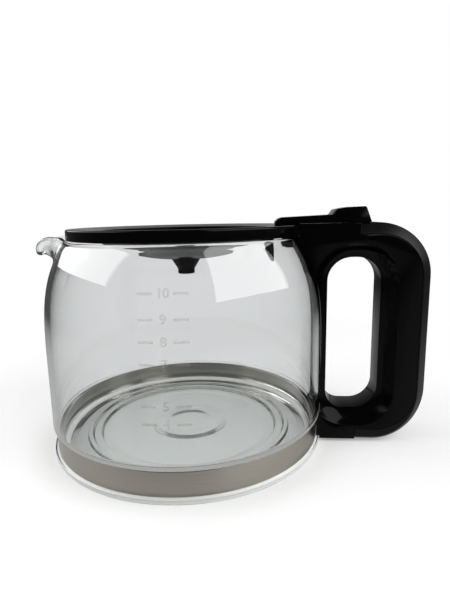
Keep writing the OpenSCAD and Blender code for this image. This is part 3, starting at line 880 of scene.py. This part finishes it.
@dataclass
class Handle:
    """The handle: a gloss moulding round the finger opening, and a satin cover over its back."""

    gloss: Material
    satin: Material
    jug: GlassJug
    width: float = 27.0
    top_z: float = 112.8
    base_z: float = 1.5
    back_x: float = 124.1
    corner_r: float = 26.5
    corner_step_deg: int = 3
    cover_t: float = 5.4
    cover_x: float = 88.8
    top_bevel: Flat = (5.5, 4.9)
    base_bevel: Flat = (1.6, 1.4)
    edge_round: float = 0.5
    inner_round: float = 0.15
    body_round: float = 0.35
    front_x: float = 57.3
    seam: float = 0.05
    opening: tuple[Corner, ...] = (
        (83.1, 25.6, 9.0), (88.4, 28.6, 12.0), (88.4, 83.9, 12.0), (86.1, 83.9, 12.0))
    opening_step_deg: int = 5
    scoop_w: float = 7.2
    scoop_depth: float = 6.0
    scoop_power: float = 1.7
    scoop_steps: int = 14
    scoop_rounds: Flat = (0.4, 0.6)
    scoop_round_steps: int = 4
    scoop_overrun: float = 0.3
    glass_gap: float = 0.25
    rim_room: Flat = (60.05, 107.05)
    groove_r: float = 70.0
    groove_z: Flat = (2.9, 14.6)
    groove_slope: float = 1.9
    lid_r: float = 59.7
    lid_z: float = 106.75
    room_steps: int = 256
    room_rows: int = 24
    ear_end: float = 80.8
    ear_y: Flat = (2.2, 3.5)
    ear_top: float = 14.8
    screw_x: float = 76.09
    screw_z: float = 8.75
    screw_r: float = 1.55
    head_r: float = 3.075
    head_y: float = 9.5
    nut_y: Flat = (-10.75, -8.25)
    nut_half: float = 2.8
    hook_end: float = 69.95
    hook_half: float = 3.95
    hook_z: Flat = (106.8, 109.0)
    hook_screw_x: float = 66.55
    hook_screw_r: float = 1.3
    hook_screw_z: float = 102.05
    hook_head_r: float = 2.61
    hook_head_z: float = 110.35
    well_x: Flat = (86.5, 100.3)
    well_half: float = 6.3
    well_z: float = 107.4
    pin_r: float = 1.3
    pin_half: float = 9.15

    def bend(self, radius: float) -> list[tuple[float, float, float]]:
        """Draw the handle's two round corners.

        Args:
            radius: Radius of the corners.

        Returns:
            x, z and the direction outwards in degrees, from below to the top.
        """
        x = self.back_x - self.corner_r
        line = []
        for first, z in ((-90, self.base_z + self.corner_r), (0, self.top_z - self.corner_r)):
            for turn in range(first, first + 91, self.corner_step_deg):
                way = math.radians(turn)
                line.append((x + radius * math.cos(way), z + radius * math.sin(way), turn))
        return line

    def section(self, rise: float) -> list[Flat]:
        """Draw the cover's cross-section: steeply bevelled above, nearly square below.

        Args:
            rise: 0 at the cover's lower run, 1 at its back and top.

        Returns:
            Depth under the outer face and place along the width.
        """
        across, down = (a + (b - a) * rise for a, b in zip(self.base_bevel, self.top_bevel))
        half, inner, outer = self.width / 2, self.inner_round, self.edge_round
        return rounded([(self.cover_t, -half, inner), (self.cover_t, half, inner), (down, half, outer),
                        (0, half - across, outer), (0, across - half, outer), (down, -half, outer)],
                       closed=True)

    def cover(self) -> Object:
        """Mould the cover and cut the hinge's well and the pin's seat into it.

        Returns:
            The cover.
        """
        path = [(self.cover_x, self.base_z, -90), *self.bend(self.corner_r), (self.cover_x, self.top_z, 90)]
        rings = []
        for x, z, turn in path:
            section = self.section(smooth_step(min((turn + 90) / 90, 1)))
            out = Vector((math.cos(math.radians(turn)), math.sin(math.radians(turn))))
            rings.append([(x - out.x * depth, y, z - out.y * depth) for depth, y in section])
        piece = lofted("satin_handle_cover", rings, self.satin)
        pin_seat = drill(*HINGE, self.pin_r, (-self.pin_half, self.pin_half))
        combined(piece, [self.well(), pin_seat], Joining.CUT)
        return piece

    def well(self) -> Object:
        """Make the cutter of the hinge's well."""
        half = self.well_half
        return block(self.well_x, (-half, half), (self.well_z, self.top_z + OVERRUN))

    def opening_cut(self) -> Object:
        """Loft the finger opening with the hollow scooped out of each side face.

        Returns:
            The cutter.
        """
        half, steps = self.width / 2, self.scoop_steps
        deep = half - self.scoop_depth
        hollow = [(self.scoop_w * i / steps, deep + self.scoop_depth * (i / steps) ** self.scoop_power)
                  for i in range(2, steps)]
        slope = self.scoop_w / self.scoop_depth / self.scoop_power
        inner, outer = self.scoop_rounds
        line = rounded([(0, 0, 0), (0, deep, inner), *((s, y, 0) for s, y in hollow),
                        (self.scoop_w, half, outer), (self.scoop_w + slope, half + self.scoop_overrun, 0)],
                       self.scoop_round_steps)
        rings = []
        for grow, y in [(s, -y) for s, y in line[::-1]] + line[1:]:
            rings.append([])
            for (x, z, radius), first in zip(self.opening, (180, 270, 0, 90)):
                for turn in range(first, first + 91, self.opening_step_deg):
                    reach, way = radius + grow, math.radians(turn)
                    rings[-1].append((x + reach * math.cos(way), y, z + reach * math.sin(way)))
        return lofted("opening", rings)

    def glass_room(self) -> list[Object]:
        """Make the cutters that keep the handle clear of the glass, the band and the lid.

        Returns:
            The cutters.
        """
        gap, jug = self.glass_gap, self.jug
        outer, groove = jug.body_r + gap, self.groove_r + gap
        low, high = self.groove_z
        line = [(0, -OVERRUN), (outer, -OVERRUN), (outer, low + gap), (groove, low + gap), (groove, high),
                (outer, high + self.groove_slope)]
        rows = self.room_rows
        heights = [jug.shoulder_z + jug.shoulder_span * i / rows for i in range(rows + 1)]
        line += [(jug.middle_r(z) + jug.wall / 2 + gap, z) for z in heights]
        line += [self.rim_room, (0, self.rim_room[1])]
        return [revolved("glass_room", line, 0, steps=self.room_steps),
                bore(LID_X, self.lid_r, (self.lid_z, self.top_z + OVERRUN), self.room_steps)]

    def fastener_room(self) -> list[Object]:
        """Make the cutters for the band's ends, the rim hook, both screws and the nut.

        Returns:
            The cutters.
        """
        x, z, half = self.screw_x, self.screw_z, self.nut_half
        below, above = self.base_z - OVERRUN, self.top_z + OVERRUN
        near, far = self.ear_y
        return [block((self.front_x, self.ear_end), (-far, -near), (below, self.ear_top)),
                block((self.front_x, self.ear_end), (near, far), (below, self.ear_top)),
                drill(x, z, self.head_r, (self.head_y, self.width / 2 + OVERRUN)),
                drill(x, z, self.screw_r, (self.nut_y[0], self.head_y + OVERRUN)),
                block((x - half, x + half), self.nut_y, (below, z + half)),
                block((self.front_x, self.hook_end), (-self.hook_half, self.hook_half), self.hook_z),
                bore(self.hook_screw_x, self.hook_head_r, (self.hook_head_z, above)),
                bore(self.hook_screw_x, self.hook_screw_r, (self.hook_screw_z, above))]

    def body(self) -> Object:
        """Mould the gloss body: its outline, the scooped opening and the room for what it holds.

        Returns:
            The body.
        """
        depth = self.cover_t + self.seam
        end, low, high = self.cover_x - self.seam, self.base_z + depth, self.top_z - depth
        outline = [(self.front_x, self.base_z), (end, self.base_z), (end, low)]
        outline += [(x, z) for x, z, _ in self.bend(self.corner_r - depth)]
        outline += [(end, high), (end, self.top_z), (self.front_x, self.top_z)]
        piece = prism("moulded_handle_body", outline, (-self.width / 2, self.width / 2), self.gloss)
        bevelled(piece, self.body_round, 2, SHARP_DEG)
        combined(piece, [self.opening_cut(), *self.glass_room(), self.well(), *self.fastener_room()],
                 Joining.CUT)
        return piece

    def dress(self) -> None:
        """Build the handle's pieces and let each stand for its node."""
        settle(self.body(), Body.JUG, "handle_body")
        settle(self.cover(), Body.JUG, "handle_spine")


@dataclass
class Lid:
    """The lid: a plate with a rim, the funnel under it, the drip nozzle, and the arm with its thumb tab."""

    black: Material
    gloss: Material
    radius: float = 59.4
    base_z: float = 107.1
    top_z: float = 112.4
    plate_z: float = 110.4
    wall: float = 2.0
    crest_in: float = 2.5
    dish: float = 1.3
    plate_rounds: tuple[float, ...] = (0.4, 0.9, 2.0, 0.3, 0.15, 0.6, 0.4)
    funnel_r: float = 45.0
    funnel_z: float = 96.1
    funnel_t: float = 1.7
    funnel_slope: float = 1.1
    funnel_steps: int = 24
    hub_r: float = 8.0
    hub_hole_r: float = 4.0
    bowl_power: float = 1.9
    bowl_edge: float = 0.8
    flange_r: float = 48.2
    flange_rounds: tuple[float, ...] = (0.4, 0.3, 0.2, 0.2, 0.8)
    seat_gap: Flat = (0.05, 0.02)
    notch_x: float = 51.2
    notch_half: float = 4.2
    notch_z: float = 109.25
    fin_x: float = 47.4
    fin_w: float = 6.2
    fin_low: float = 92.8
    fin_sunk: float = 0.4
    fin_t: float = 2.4
    fin_corner: float = 0.6
    fin_edge: float = 0.35
    fin_shares: tuple[Flat, ...] = ((0, 0), (0, 1), (0.35, 0.87), (0.72, 0.55), (1, 0.24))
    nozzle_bore_r: float = 1.9
    nozzle_r: float = 4.35
    nozzle_low: float = 87.9
    nozzle_waist: Corner = (4.4, 90.4, 1.0)
    nozzle_flare: float = 7.8
    snap_r: float = 5.2
    snap_z: Flat = (1.75, 2.95)
    nozzle_round: float = 0.5
    nozzle_lip: float = 0.3
    snap_rounds: Flat = (0.1, 0.2)
    nozzle_steps: int = 96
    arm_w: float = 18.0
    arm_round: float = 0.9
    arm_line: tuple[Corner, ...] = (
        (59.91, 112.0, 0), (47.7, 110.9, 0.3), (47.7, 113.8, 0.6), (49.2, 115.3, 1.0), (51.2, 116.0, 1.5),
        (75.8, 116.9, 1.2), (77.7, 119.5, 1.2), (82.4, 120.35, 3.0), (91.8, 120.6, 1.0), (94.7, 112.92, 0.3),
        (59.91, 112.92, 0))
    knuckle_r: float = 2.5
    knuckle_w: float = 12.0
    knuckle_step_deg: int = 10
    knuckle_front: float = 87.1
    knuckle_back: float = 94.4
    knuckle_top: float = 113.4

    def plate(self) -> Object:
        """Mould the lid's plate and rim, with the notch over the rim hook.

        Returns:
            The plate.
        """
        outer, inner, low, high = self.radius, self.radius - self.wall, self.base_z, self.top_z
        places = ((outer, low), (outer, high), (outer - self.crest_in, high),
                  (self.funnel_r, high - self.dish), (self.funnel_r, self.plate_z), (inner, self.plate_z),
                  (inner, low))
        line = rounded([(*place, radius) for place, radius in zip(places, self.plate_rounds)], closed=True)
        piece = revolved("moulded_lid_plate", line, LID_X, self.black)
        notch = block((self.notch_x, outer + OVERRUN), (-self.notch_half, self.notch_half),
                      (low - OVERRUN, self.notch_z))
        combined(piece, [notch], Joining.CUT)
        return piece

    def funnel(self) -> Object:
        """Mould the funnel and the guide fin on its flank.

        Returns:
            The funnel.
        """
        low, thick, hole = self.funnel_z, self.funnel_t, self.hub_hole_r
        outer, seat = self.funnel_r + thick, self.funnel_r - self.seat_gap[0]
        top, seat_z = self.plate_z - thick, self.plate_z - self.seat_gap[1]
        run, drop = outer - self.hub_r, self.base_z - low
        parts = [i / self.funnel_steps for i in range(self.funnel_steps + 1)]
        bowl = [(self.hub_r + run * part, low + drop * part ** self.bowl_power) for part in parts]
        inside = [(r, z + thick * self.funnel_slope) for r, z in bowl if r < self.funnel_r - self.bowl_edge]
        places = ((outer, top), (self.flange_r, top), (self.flange_r, seat_z), (seat, seat_z), (seat, top))
        flange = [(*place, radius) for place, radius in zip(places, self.flange_rounds)]
        line = [(hole, low), *bowl, *rounded([(*bowl[-1], 0), *flange, (*inside[-1], 0)])[1:],
                *inside[-2::-1], (hole, low + thick)]
        piece = revolved("moulded_lid_funnel", line, LID_X, self.black)
        root = self.base_z + self.fin_sunk
        outline = [(self.fin_x - self.fin_w * s, root - (root - self.fin_low) * t, self.fin_corner)
                   for s, t in self.fin_shares]
        fin = prism("fin", rounded(outline, closed=True), (-self.fin_t / 2, self.fin_t / 2))
        bevelled(fin, self.fin_edge, 2)
        combined(piece, [fin], Joining.WELD)
        return piece

    def nozzle(self) -> Object:
        """Mould the drip nozzle, snapped into the funnel's hub.

        Returns:
            The nozzle.
        """
        inner, hole, soft = self.nozzle_bore_r, self.hub_hole_r, self.nozzle_round
        seat_z = self.funnel_z - self.seat_gap[0]
        snap, top = (self.funnel_z + z for z in self.snap_z)
        sharp, blunt = self.snap_rounds
        line = rounded([(inner, self.nozzle_low, self.nozzle_lip), (self.nozzle_r, self.nozzle_low, soft),
                        self.nozzle_waist, (self.nozzle_flare, seat_z, soft), (hole, seat_z, 0),
                        (hole, snap, 0), (self.snap_r, snap, sharp), (hole, top, blunt),
                        (inner, top, blunt)], closed=True)
        return revolved("moulded_drip_nozzle", line, LID_X, self.gloss, self.nozzle_steps)

    def arm(self) -> Object:
        """Mould the arm with its thumb tab and its knuckle.

        Returns:
            The arm.
        """
        half, line = self.arm_w / 2, rounded(list(self.arm_line), closed=True)
        piece = prism("moulded_lid_arm", line, (-half, half), self.gloss)
        bevelled(piece, self.arm_round, 4, SHARP_DEG)
        x, z, radius = *HINGE, self.knuckle_r
        turns = [math.radians(turn) for turn in range(0, 181, self.knuckle_step_deg)]
        outline = [(self.knuckle_front, z - radius)]
        outline += [(x + radius * math.sin(turn), z - radius * math.cos(turn)) for turn in turns]
        outline += [(self.knuckle_back, z + radius), (self.knuckle_back, self.knuckle_top),
                    (self.knuckle_front, self.knuckle_top)]
        knuckle = prism("knuckle", outline, (-self.knuckle_w / 2, self.knuckle_w / 2))
        combined(piece, [knuckle], Joining.WELD)
        return piece

    def dress(self) -> None:
        """Build the lid's pieces and let each stand for its node."""
        settle(self.plate(), Body.LID, "lid_shell")
        settle(self.funnel(), Body.LID, "lid_funnel")
        settle(self.nozzle(), Body.LID, "drip_nozzle")
        settle(self.arm(), Body.LID, "lid_arm")


@dataclass
class CupScale:
    """The cup scale on the front of the jug: a number between two bars for every measure."""

    ink: Material
    jug: GlassJug
    heights: tuple[tuple[int, float], ...] = (
        (10, 88.55), (9, 78.6), (8, 69.95), (7, 61.0), (6, 51.6), (5, 43.7), (4, 36.1))
    centre_deg: float = 2.67
    digit_size: float = 5.2
    boldness: float = 0.2
    bar_length: float = 6.1
    bar_height: float = 1.05
    bar_away: float = 7.05
    bar_columns: int = 8
    ink_t: float = 0.12
    lift: float = 0.03

    def flat_marks(self, tree: NodeTree, given: NodeOutputs) -> Node:
        """Draw the bars and the numbers flat, x across and y up the jug.

        Args:
            tree: The tree that takes the nodes.
            given: What the tree's inputs give.

        Returns:
            The node that gives the marks.
        """
        bar = add_node(tree, "GeometryNodeMeshGrid", {
            "Vertices X": self.bar_columns, "Vertices Y": 2, "Size X": given["Bar Length"],
            "Size Y": given["Bar Height"]})
        bars = []
        for side in (-1.0, 1.0):
            away = add_node(tree, "ShaderNodeMath", {0: given["Bar Distance"], 1: side},
                            operation="MULTIPLY")
            moved = add_node(tree, "GeometryNodeTransform", {
                "Geometry": bar, "Translation": add_node(tree, "ShaderNodeCombineXYZ", {"X": away})})
            bars.append(add_node(tree, "GeometryNodeInstanceOnPoints", {
                "Points": given["Geometry"], "Instance": moved}))
        numbers = []
        for number, height in self.heights:
            text = add_node(tree, "FunctionNodeInputString", string=str(number))
            drawn = add_node(tree, "GeometryNodeStringToCurves", {
                "String": text, "Size": given["Digit Size"]}, align_x="CENTER", align_y="MIDDLE")
            numbers.append(add_node(tree, "GeometryNodeTransform", {
                "Geometry": drawn, "Translation": (0, height * MM, 0)}))
        loose = add_node(tree, "GeometryNodeRealizeInstances", {
            "Geometry": add_node(tree, "GeometryNodeJoinGeometry", {"Geometry": numbers})})
        fine = add_node(tree, "GeometryNodeResampleCurve", {"Curve": loose}, mode="EVALUATED")
        outwards = add_node(tree, "ShaderNodeVectorMath", {
            0: add_node(tree, "GeometryNodeInputNormal"), "Scale": given["Boldness"]}, operation="SCALE")
        bold = add_node(tree, "GeometryNodeSetPosition", {"Geometry": fine, "Offset": outwards})
        filled = add_node(tree, "GeometryNodeFillCurve", {"Curve": bold})
        return add_node(tree, "GeometryNodeJoinGeometry", {"Geometry": [*bars, filled]})

    def tree(self, sizes: list[str]) -> NodeTree:
        """Make the tree that prints the flat marks and lays them on the jug's wall.

        Args:
            sizes: Names of its inputs.

        Returns:
            The tree.
        """
        tree, given = new_maker("cup_scale", sizes)
        real = add_node(tree, "GeometryNodeRealizeInstances", {"Geometry": self.flat_marks(tree, given)})
        raised = add_node(tree, "GeometryNodeExtrudeMesh", {
            "Mesh": real, "Offset Scale": given["Ink Thickness"], "Individual": False})
        under = add_node(tree, "GeometryNodeFlipFaces", {"Mesh": real})
        solid = add_node(tree, "GeometryNodeJoinGeometry", {"Geometry": [raised, under]})
        closed = add_node(tree, "GeometryNodeMergeByDistance", {
            "Geometry": solid, "Distance": WELD_MM / 2 * MM})
        where = add_node(tree, "GeometryNodeInputPosition")
        spot = add_node(tree, "ShaderNodeSeparateXYZ", {"Vector": where}).outputs
        known = {**dict(given.items()), "across": spot["X"], "height": spot["Y"], "depth": spot["Z"]}
        for result, left, operation, right in (
                ("over", "height", "SUBTRACT", "Shoulder Height"), ("rise", "over", "MAXIMUM", 0.0),
                ("part", "rise", "DIVIDE", "Shoulder Span"), ("share", "part", "POWER", "Shoulder Power"),
                ("drawn", "share", "MULTIPLY", "Shoulder Run"), ("wall", "Body Radius", "SUBTRACT", "drawn"),
                ("skin", "wall", "ADD", "Lift"), ("radius", "skin", "ADD", "depth"),
                ("arc", "across", "DIVIDE", "wall"), ("turn", "arc", "ADD", "Centre Angle"),
                ("sine", "turn", "SINE", 0.0), ("x", "radius", "MULTIPLY", "sine"),
                ("cosine", "turn", "COSINE", 0.0), ("front", "radius", "MULTIPLY", "cosine"),
                ("y", "front", "MULTIPLY", -1.0)):
            known[result] = add_node(tree, "ShaderNodeMath", {0: known[left], 1: known.get(right, right)},
                                     operation=operation)
        place = add_node(tree, "ShaderNodeCombineXYZ", {
            "X": known["x"], "Y": known["y"], "Z": known["height"]})
        laid = add_node(tree, "GeometryNodeSetPosition", {"Geometry": closed, "Position": place})
        end_maker(tree, laid, given["Finish"])
        return tree

    def dress(self) -> None:
        """Print the scale on the jug."""
        jug = self.jug
        lengths = {"Digit Size": self.digit_size, "Boldness": self.boldness, "Bar Length": self.bar_length,
                   "Bar Height": self.bar_height, "Bar Distance": self.bar_away, "Ink Thickness": self.ink_t,
                   "Lift": self.lift, "Body Radius": jug.body_r, "Shoulder Height": jug.shoulder_z,
                   "Shoulder Span": jug.shoulder_span, "Shoulder Run": jug.shoulder_run}
        sizes = {**{name: length * MM for name, length in lengths.items()},
                 "Centre Angle": math.radians(self.centre_deg), "Shoulder Power": jug.shoulder_power}
        piece = grown("fired_cup_scale", [(0, z, 0) for _, z in self.heights], [], self.tree(list(sizes)),
                      {**sizes, "Finish": self.ink})
        settle(piece, Body.JUG)


def stage_card(name: str, corners: tuple[Point, ...], material: Material) -> None:
    """Put a flat card of the studio in place.

    Args:
        name: Its name.
        corners: Its corners in metres.
        material: Its material.
    """
    mesh = bpy.data.meshes.new(name)
    mesh.from_pydata(corners, [], [tuple(range(len(corners)))])
    mesh.materials.append(material)
    card = bpy.data.objects.new(name, mesh)
    bpy.context.scene.collection.objects.link(card)


@dataclass(frozen=True)
class SoftBox:
    """One soft box of the studio, given by its four corners in metres."""

    name: str
    corners: tuple[Point, ...]
    radiance: float = 3.0

    def hang(self) -> None:
        """Hang the soft box."""
        material, tree = new_material(self.name)
        glow = add_node(tree, "ShaderNodeEmission", {"Color": WHITE, "Strength": self.radiance})
        add_node(tree, "ShaderNodeOutputMaterial", {"Surface": glow})
        stage_card(self.name, self.corners, material)


@dataclass
class Studio:
    """A white sweep round the jug, a dim room in front and a soft box at each side, sized in metres."""

    room_level: float = 0.35
    room_glow: float = 0.08
    back_glow: float = 0.4
    back_sweep: Flat = (0.7, 0.98)
    floor_glow: float = 0.5
    floor_sweep: Flat = (0.5, 0.16)
    floor_lift: float = 0.3
    # Painted shade: under the jug the floor's white lift drops to the next value, darkening the paper there,
    # and it comes back to the full lift a little way outside the foot
    under_lift: float = 0.2
    foot_r: float = 0.066
    open_r: float = 0.09
    floor_colour: str = "e9e9e9"
    floor_roughness: float = 0.9
    floor_specular: float = 0.1
    floor_half: float = 6.0
    floor_z: float = 0.00002
    lit_r: float = 0.16
    white_r: float = 0.34
    boxes: tuple[SoftBox, ...] = (
        SoftBox("left_soft_box", ((-0.693, 0.711, 0.278), (-0.455, -0.312, 0.964), (-0.819, -0.536, 0.466),
                                  (-0.838, 0.562, 0.225))),
        SoftBox("right_soft_box", ((0.306, -0.412, 0.994), (0.757, 0.193, 0.761), (1.012, 0.193, 0.238),
                                   (0.568, -0.865, 0.335))))

    def glow(self, tree: NodeTree, place: NodeSocket, sweep: Flat,
             level: float) -> dict[str, Node]:
        """Work out how bright the surround looks to each kind of ray.

        Args:
            tree: The tree that takes the nodes.
            place: How far off the spot lies, or how far back the direction points.
            sweep: Where the dim room ends and the lit part is whole, as a mirrored ray finds it.
            level: How bright the lit part is to a mirrored ray.

        Returns:
            Nodes: "bright" gives the level, "clear" gives 1 for a ray that looks straight or through clear
            glass, "mirrored" gives 1 for a ray that was mirrored.
        """
        ray = add_node(tree, "ShaderNodeLightPath").outputs
        seen, glossy, inside = ray["Is Camera Ray"], ray["Is Glossy Ray"], ray["Is Transmission Ray"]
        lit = add_node(tree, "ShaderNodeMapRange", {
            "Value": place, "From Min": sweep[0], "From Max": sweep[1], "To Min": self.room_glow,
            "To Max": level}, interpolation_type="SMOOTHSTEP")
        # Less than half a bounce is none: the ray wasn't mirrored on its way
        direct = add_node(tree, "ShaderNodeMath", {0: ray["Glossy Depth"], 1: 0.5}, operation="LESS_THAN")
        through = add_node(tree, "ShaderNodeMath", {0: inside, 1: direct}, operation="MULTIPLY")
        clear = add_node(tree, "ShaderNodeMath", {0: seen, 1: through}, operation="MAXIMUM")
        bright = add_node(tree, "ShaderNodeMath", {0: clear, 1: lit}, operation="MAXIMUM")
        other = add_node(tree, "ShaderNodeMath", {0: glossy, 1: inside}, operation="MAXIMUM")
        mirrored = add_node(tree, "ShaderNodeMath", {0: other, 1: clear}, operation="SUBTRACT",
                            use_clamp=True)
        return {"bright": bright, "clear": clear, "mirrored": mirrored}

    def world(self) -> None:
        """Light the room; rays that show the background find it white."""
        world = bpy.data.worlds.new("studio")
        bpy.context.scene.world = world
        world.use_nodes = True
        tree = world.node_tree
        tree.nodes.clear()
        way = add_node(tree, "ShaderNodeSeparateXYZ", {
            "Vector": add_node(tree, "ShaderNodeTexCoord").outputs["Generated"]})
        seen = self.glow(tree, way.outputs["Y"], self.back_sweep, self.back_glow)
        shows = add_node(tree, "ShaderNodeMath", {0: seen["clear"], 1: seen["mirrored"]}, operation="ADD")
        strength = add_node(tree, "ShaderNodeMix", {
            "Factor": shows, "A": self.room_level, "B": seen["bright"]}, data_type="FLOAT")
        back = add_node(tree, "ShaderNodeBackground", {"Color": WHITE, "Strength": strength})
        add_node(tree, "ShaderNodeOutputWorld", {"Surface": back})

    def floor(self) -> None:
        """Lay the pale floor: it takes the jug's soft shadow, carries painted shade under the jug and turns
        white further out.
        """
        material, tree = new_material("pale_matt_paper")
        place = add_node(tree, "ShaderNodeTexCoord").outputs["Object"]
        away = add_node(tree, "ShaderNodeVectorMath", {0: place}, operation="LENGTH").outputs["Value"]
        fade = add_node(tree, "ShaderNodeMapRange", {
            "Value": away, "From Min": self.lit_r, "From Max": self.white_r},
            interpolation_type="SMOOTHSTEP")
        seen = self.glow(tree, away, self.floor_sweep, self.floor_glow)
        far = add_node(tree, "ShaderNodeMath", {0: seen["clear"], 1: fade}, operation="MULTIPLY")
        share = add_node(tree, "ShaderNodeMath", {0: far, 1: seen["mirrored"]}, operation="ADD")
        # Painted shade under the jug: less white lift near the middle, so the paper looks darker where the
        # jug stands
        under = add_node(tree, "ShaderNodeMapRange", {
            "Value": away, "From Min": self.foot_r, "From Max": self.open_r, "To Min": self.under_lift,
            "To Max": self.floor_lift}, interpolation_type="SMOOTHSTEP")
        lift = add_node(tree, "ShaderNodeMath", {0: seen["clear"], 1: under}, operation="MULTIPLY")
        paper = add_node(tree, "ShaderNodeBsdfPrincipled", {
            "Base Color": linear(self.floor_colour), "Roughness": self.floor_roughness,
            "Specular IOR Level": self.floor_specular})
        veil = add_node(tree, "ShaderNodeEmission", {"Color": WHITE, "Strength": lift})
        lifted = add_node(tree, "ShaderNodeAddShader", {0: paper, 1: veil})
        white = add_node(tree, "ShaderNodeEmission", {"Color": WHITE, "Strength": seen["bright"]})
        mixed = add_node(tree, "ShaderNodeMixShader", {0: share, 1: lifted, 2: white})
        add_node(tree, "ShaderNodeOutputMaterial", {"Surface": mixed})
        half = self.floor_half
        # A hair above the foot ring's underside, so that no air lies between the glass and the paper there
        stage_card("studio_floor", tuple((x * half, y * half, self.floor_z)
                                         for x, y in ((-1, -1), (1, -1), (1, 1), (-1, 1))), material)

    def build(self) -> None:
        """Set up the light, the floor and the plain view settings."""
        bpy.context.scene.view_settings.view_transform = "Standard"
        self.world()
        self.floor()
        for box in self.boxes:
            box.hang()


@dataclass(frozen=True)
class Viewpoint:
    """The camera, where the picture was taken from."""

    lens: float = 27.0
    sensor: float = 36.0
    distance: float = 239.11
    turn_deg: float = 10.0
    height: float = 117.69
    yaw_deg: float = 5.12
    pitch_deg: float = 10.68
    roll_deg: float = -1.21
    nearest: float = 10.0

    def place(self) -> None:
        """Set up the camera."""
        data = bpy.data.cameras.new("camera")
        data.lens, data.sensor_width = self.lens, self.sensor
        data.clip_start = self.nearest * MM
        camera = bpy.data.objects.new("camera", data)
        turn, facing = math.radians(self.turn_deg), math.radians(self.turn_deg - self.yaw_deg)
        place = Vector((math.sin(turn) * self.distance, -math.cos(turn) * self.distance, self.height)) * MM
        camera.matrix_world = (
            Matrix.Translation(place) @ Matrix.Rotation(facing, 4, "Z")
            @ Matrix.Rotation(math.radians(90 - self.pitch_deg), 4, "X")
            @ Matrix.Rotation(math.radians(self.roll_deg), 4, "Z"))
        bpy.context.scene.collection.objects.link(camera)
        bpy.context.scene.camera = camera


def main() -> None:
    """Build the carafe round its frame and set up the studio."""
    logging.basicConfig(level=logging.INFO)
    Viewpoint().place()
    Studio().build()
    finishes = Finishes()
    jug = GlassJug(finishes.glass)
    jug.dress()
    SteelBand(finishes.band).dress()
    Handle(finishes.handle, finishes.cover, jug).dress()
    Lid(finishes.lid, finishes.handle).dress()
    CupScale(finishes.scale, jug).dress()
    fasteners = ("band_screw", "band_nut", "hook_screw", "arm_screws", "hinge_pin")
    plain = {"rim_hook": finishes.lid, **dict.fromkeys(fasteners, finishes.fastener)}
    for name, finish in plain.items():
        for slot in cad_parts[name].material_slots:
            slot.material = finish
        log.info("%s: the frame's own solid in %s", name, finish.name)


if __name__ == "__main__":
    main()
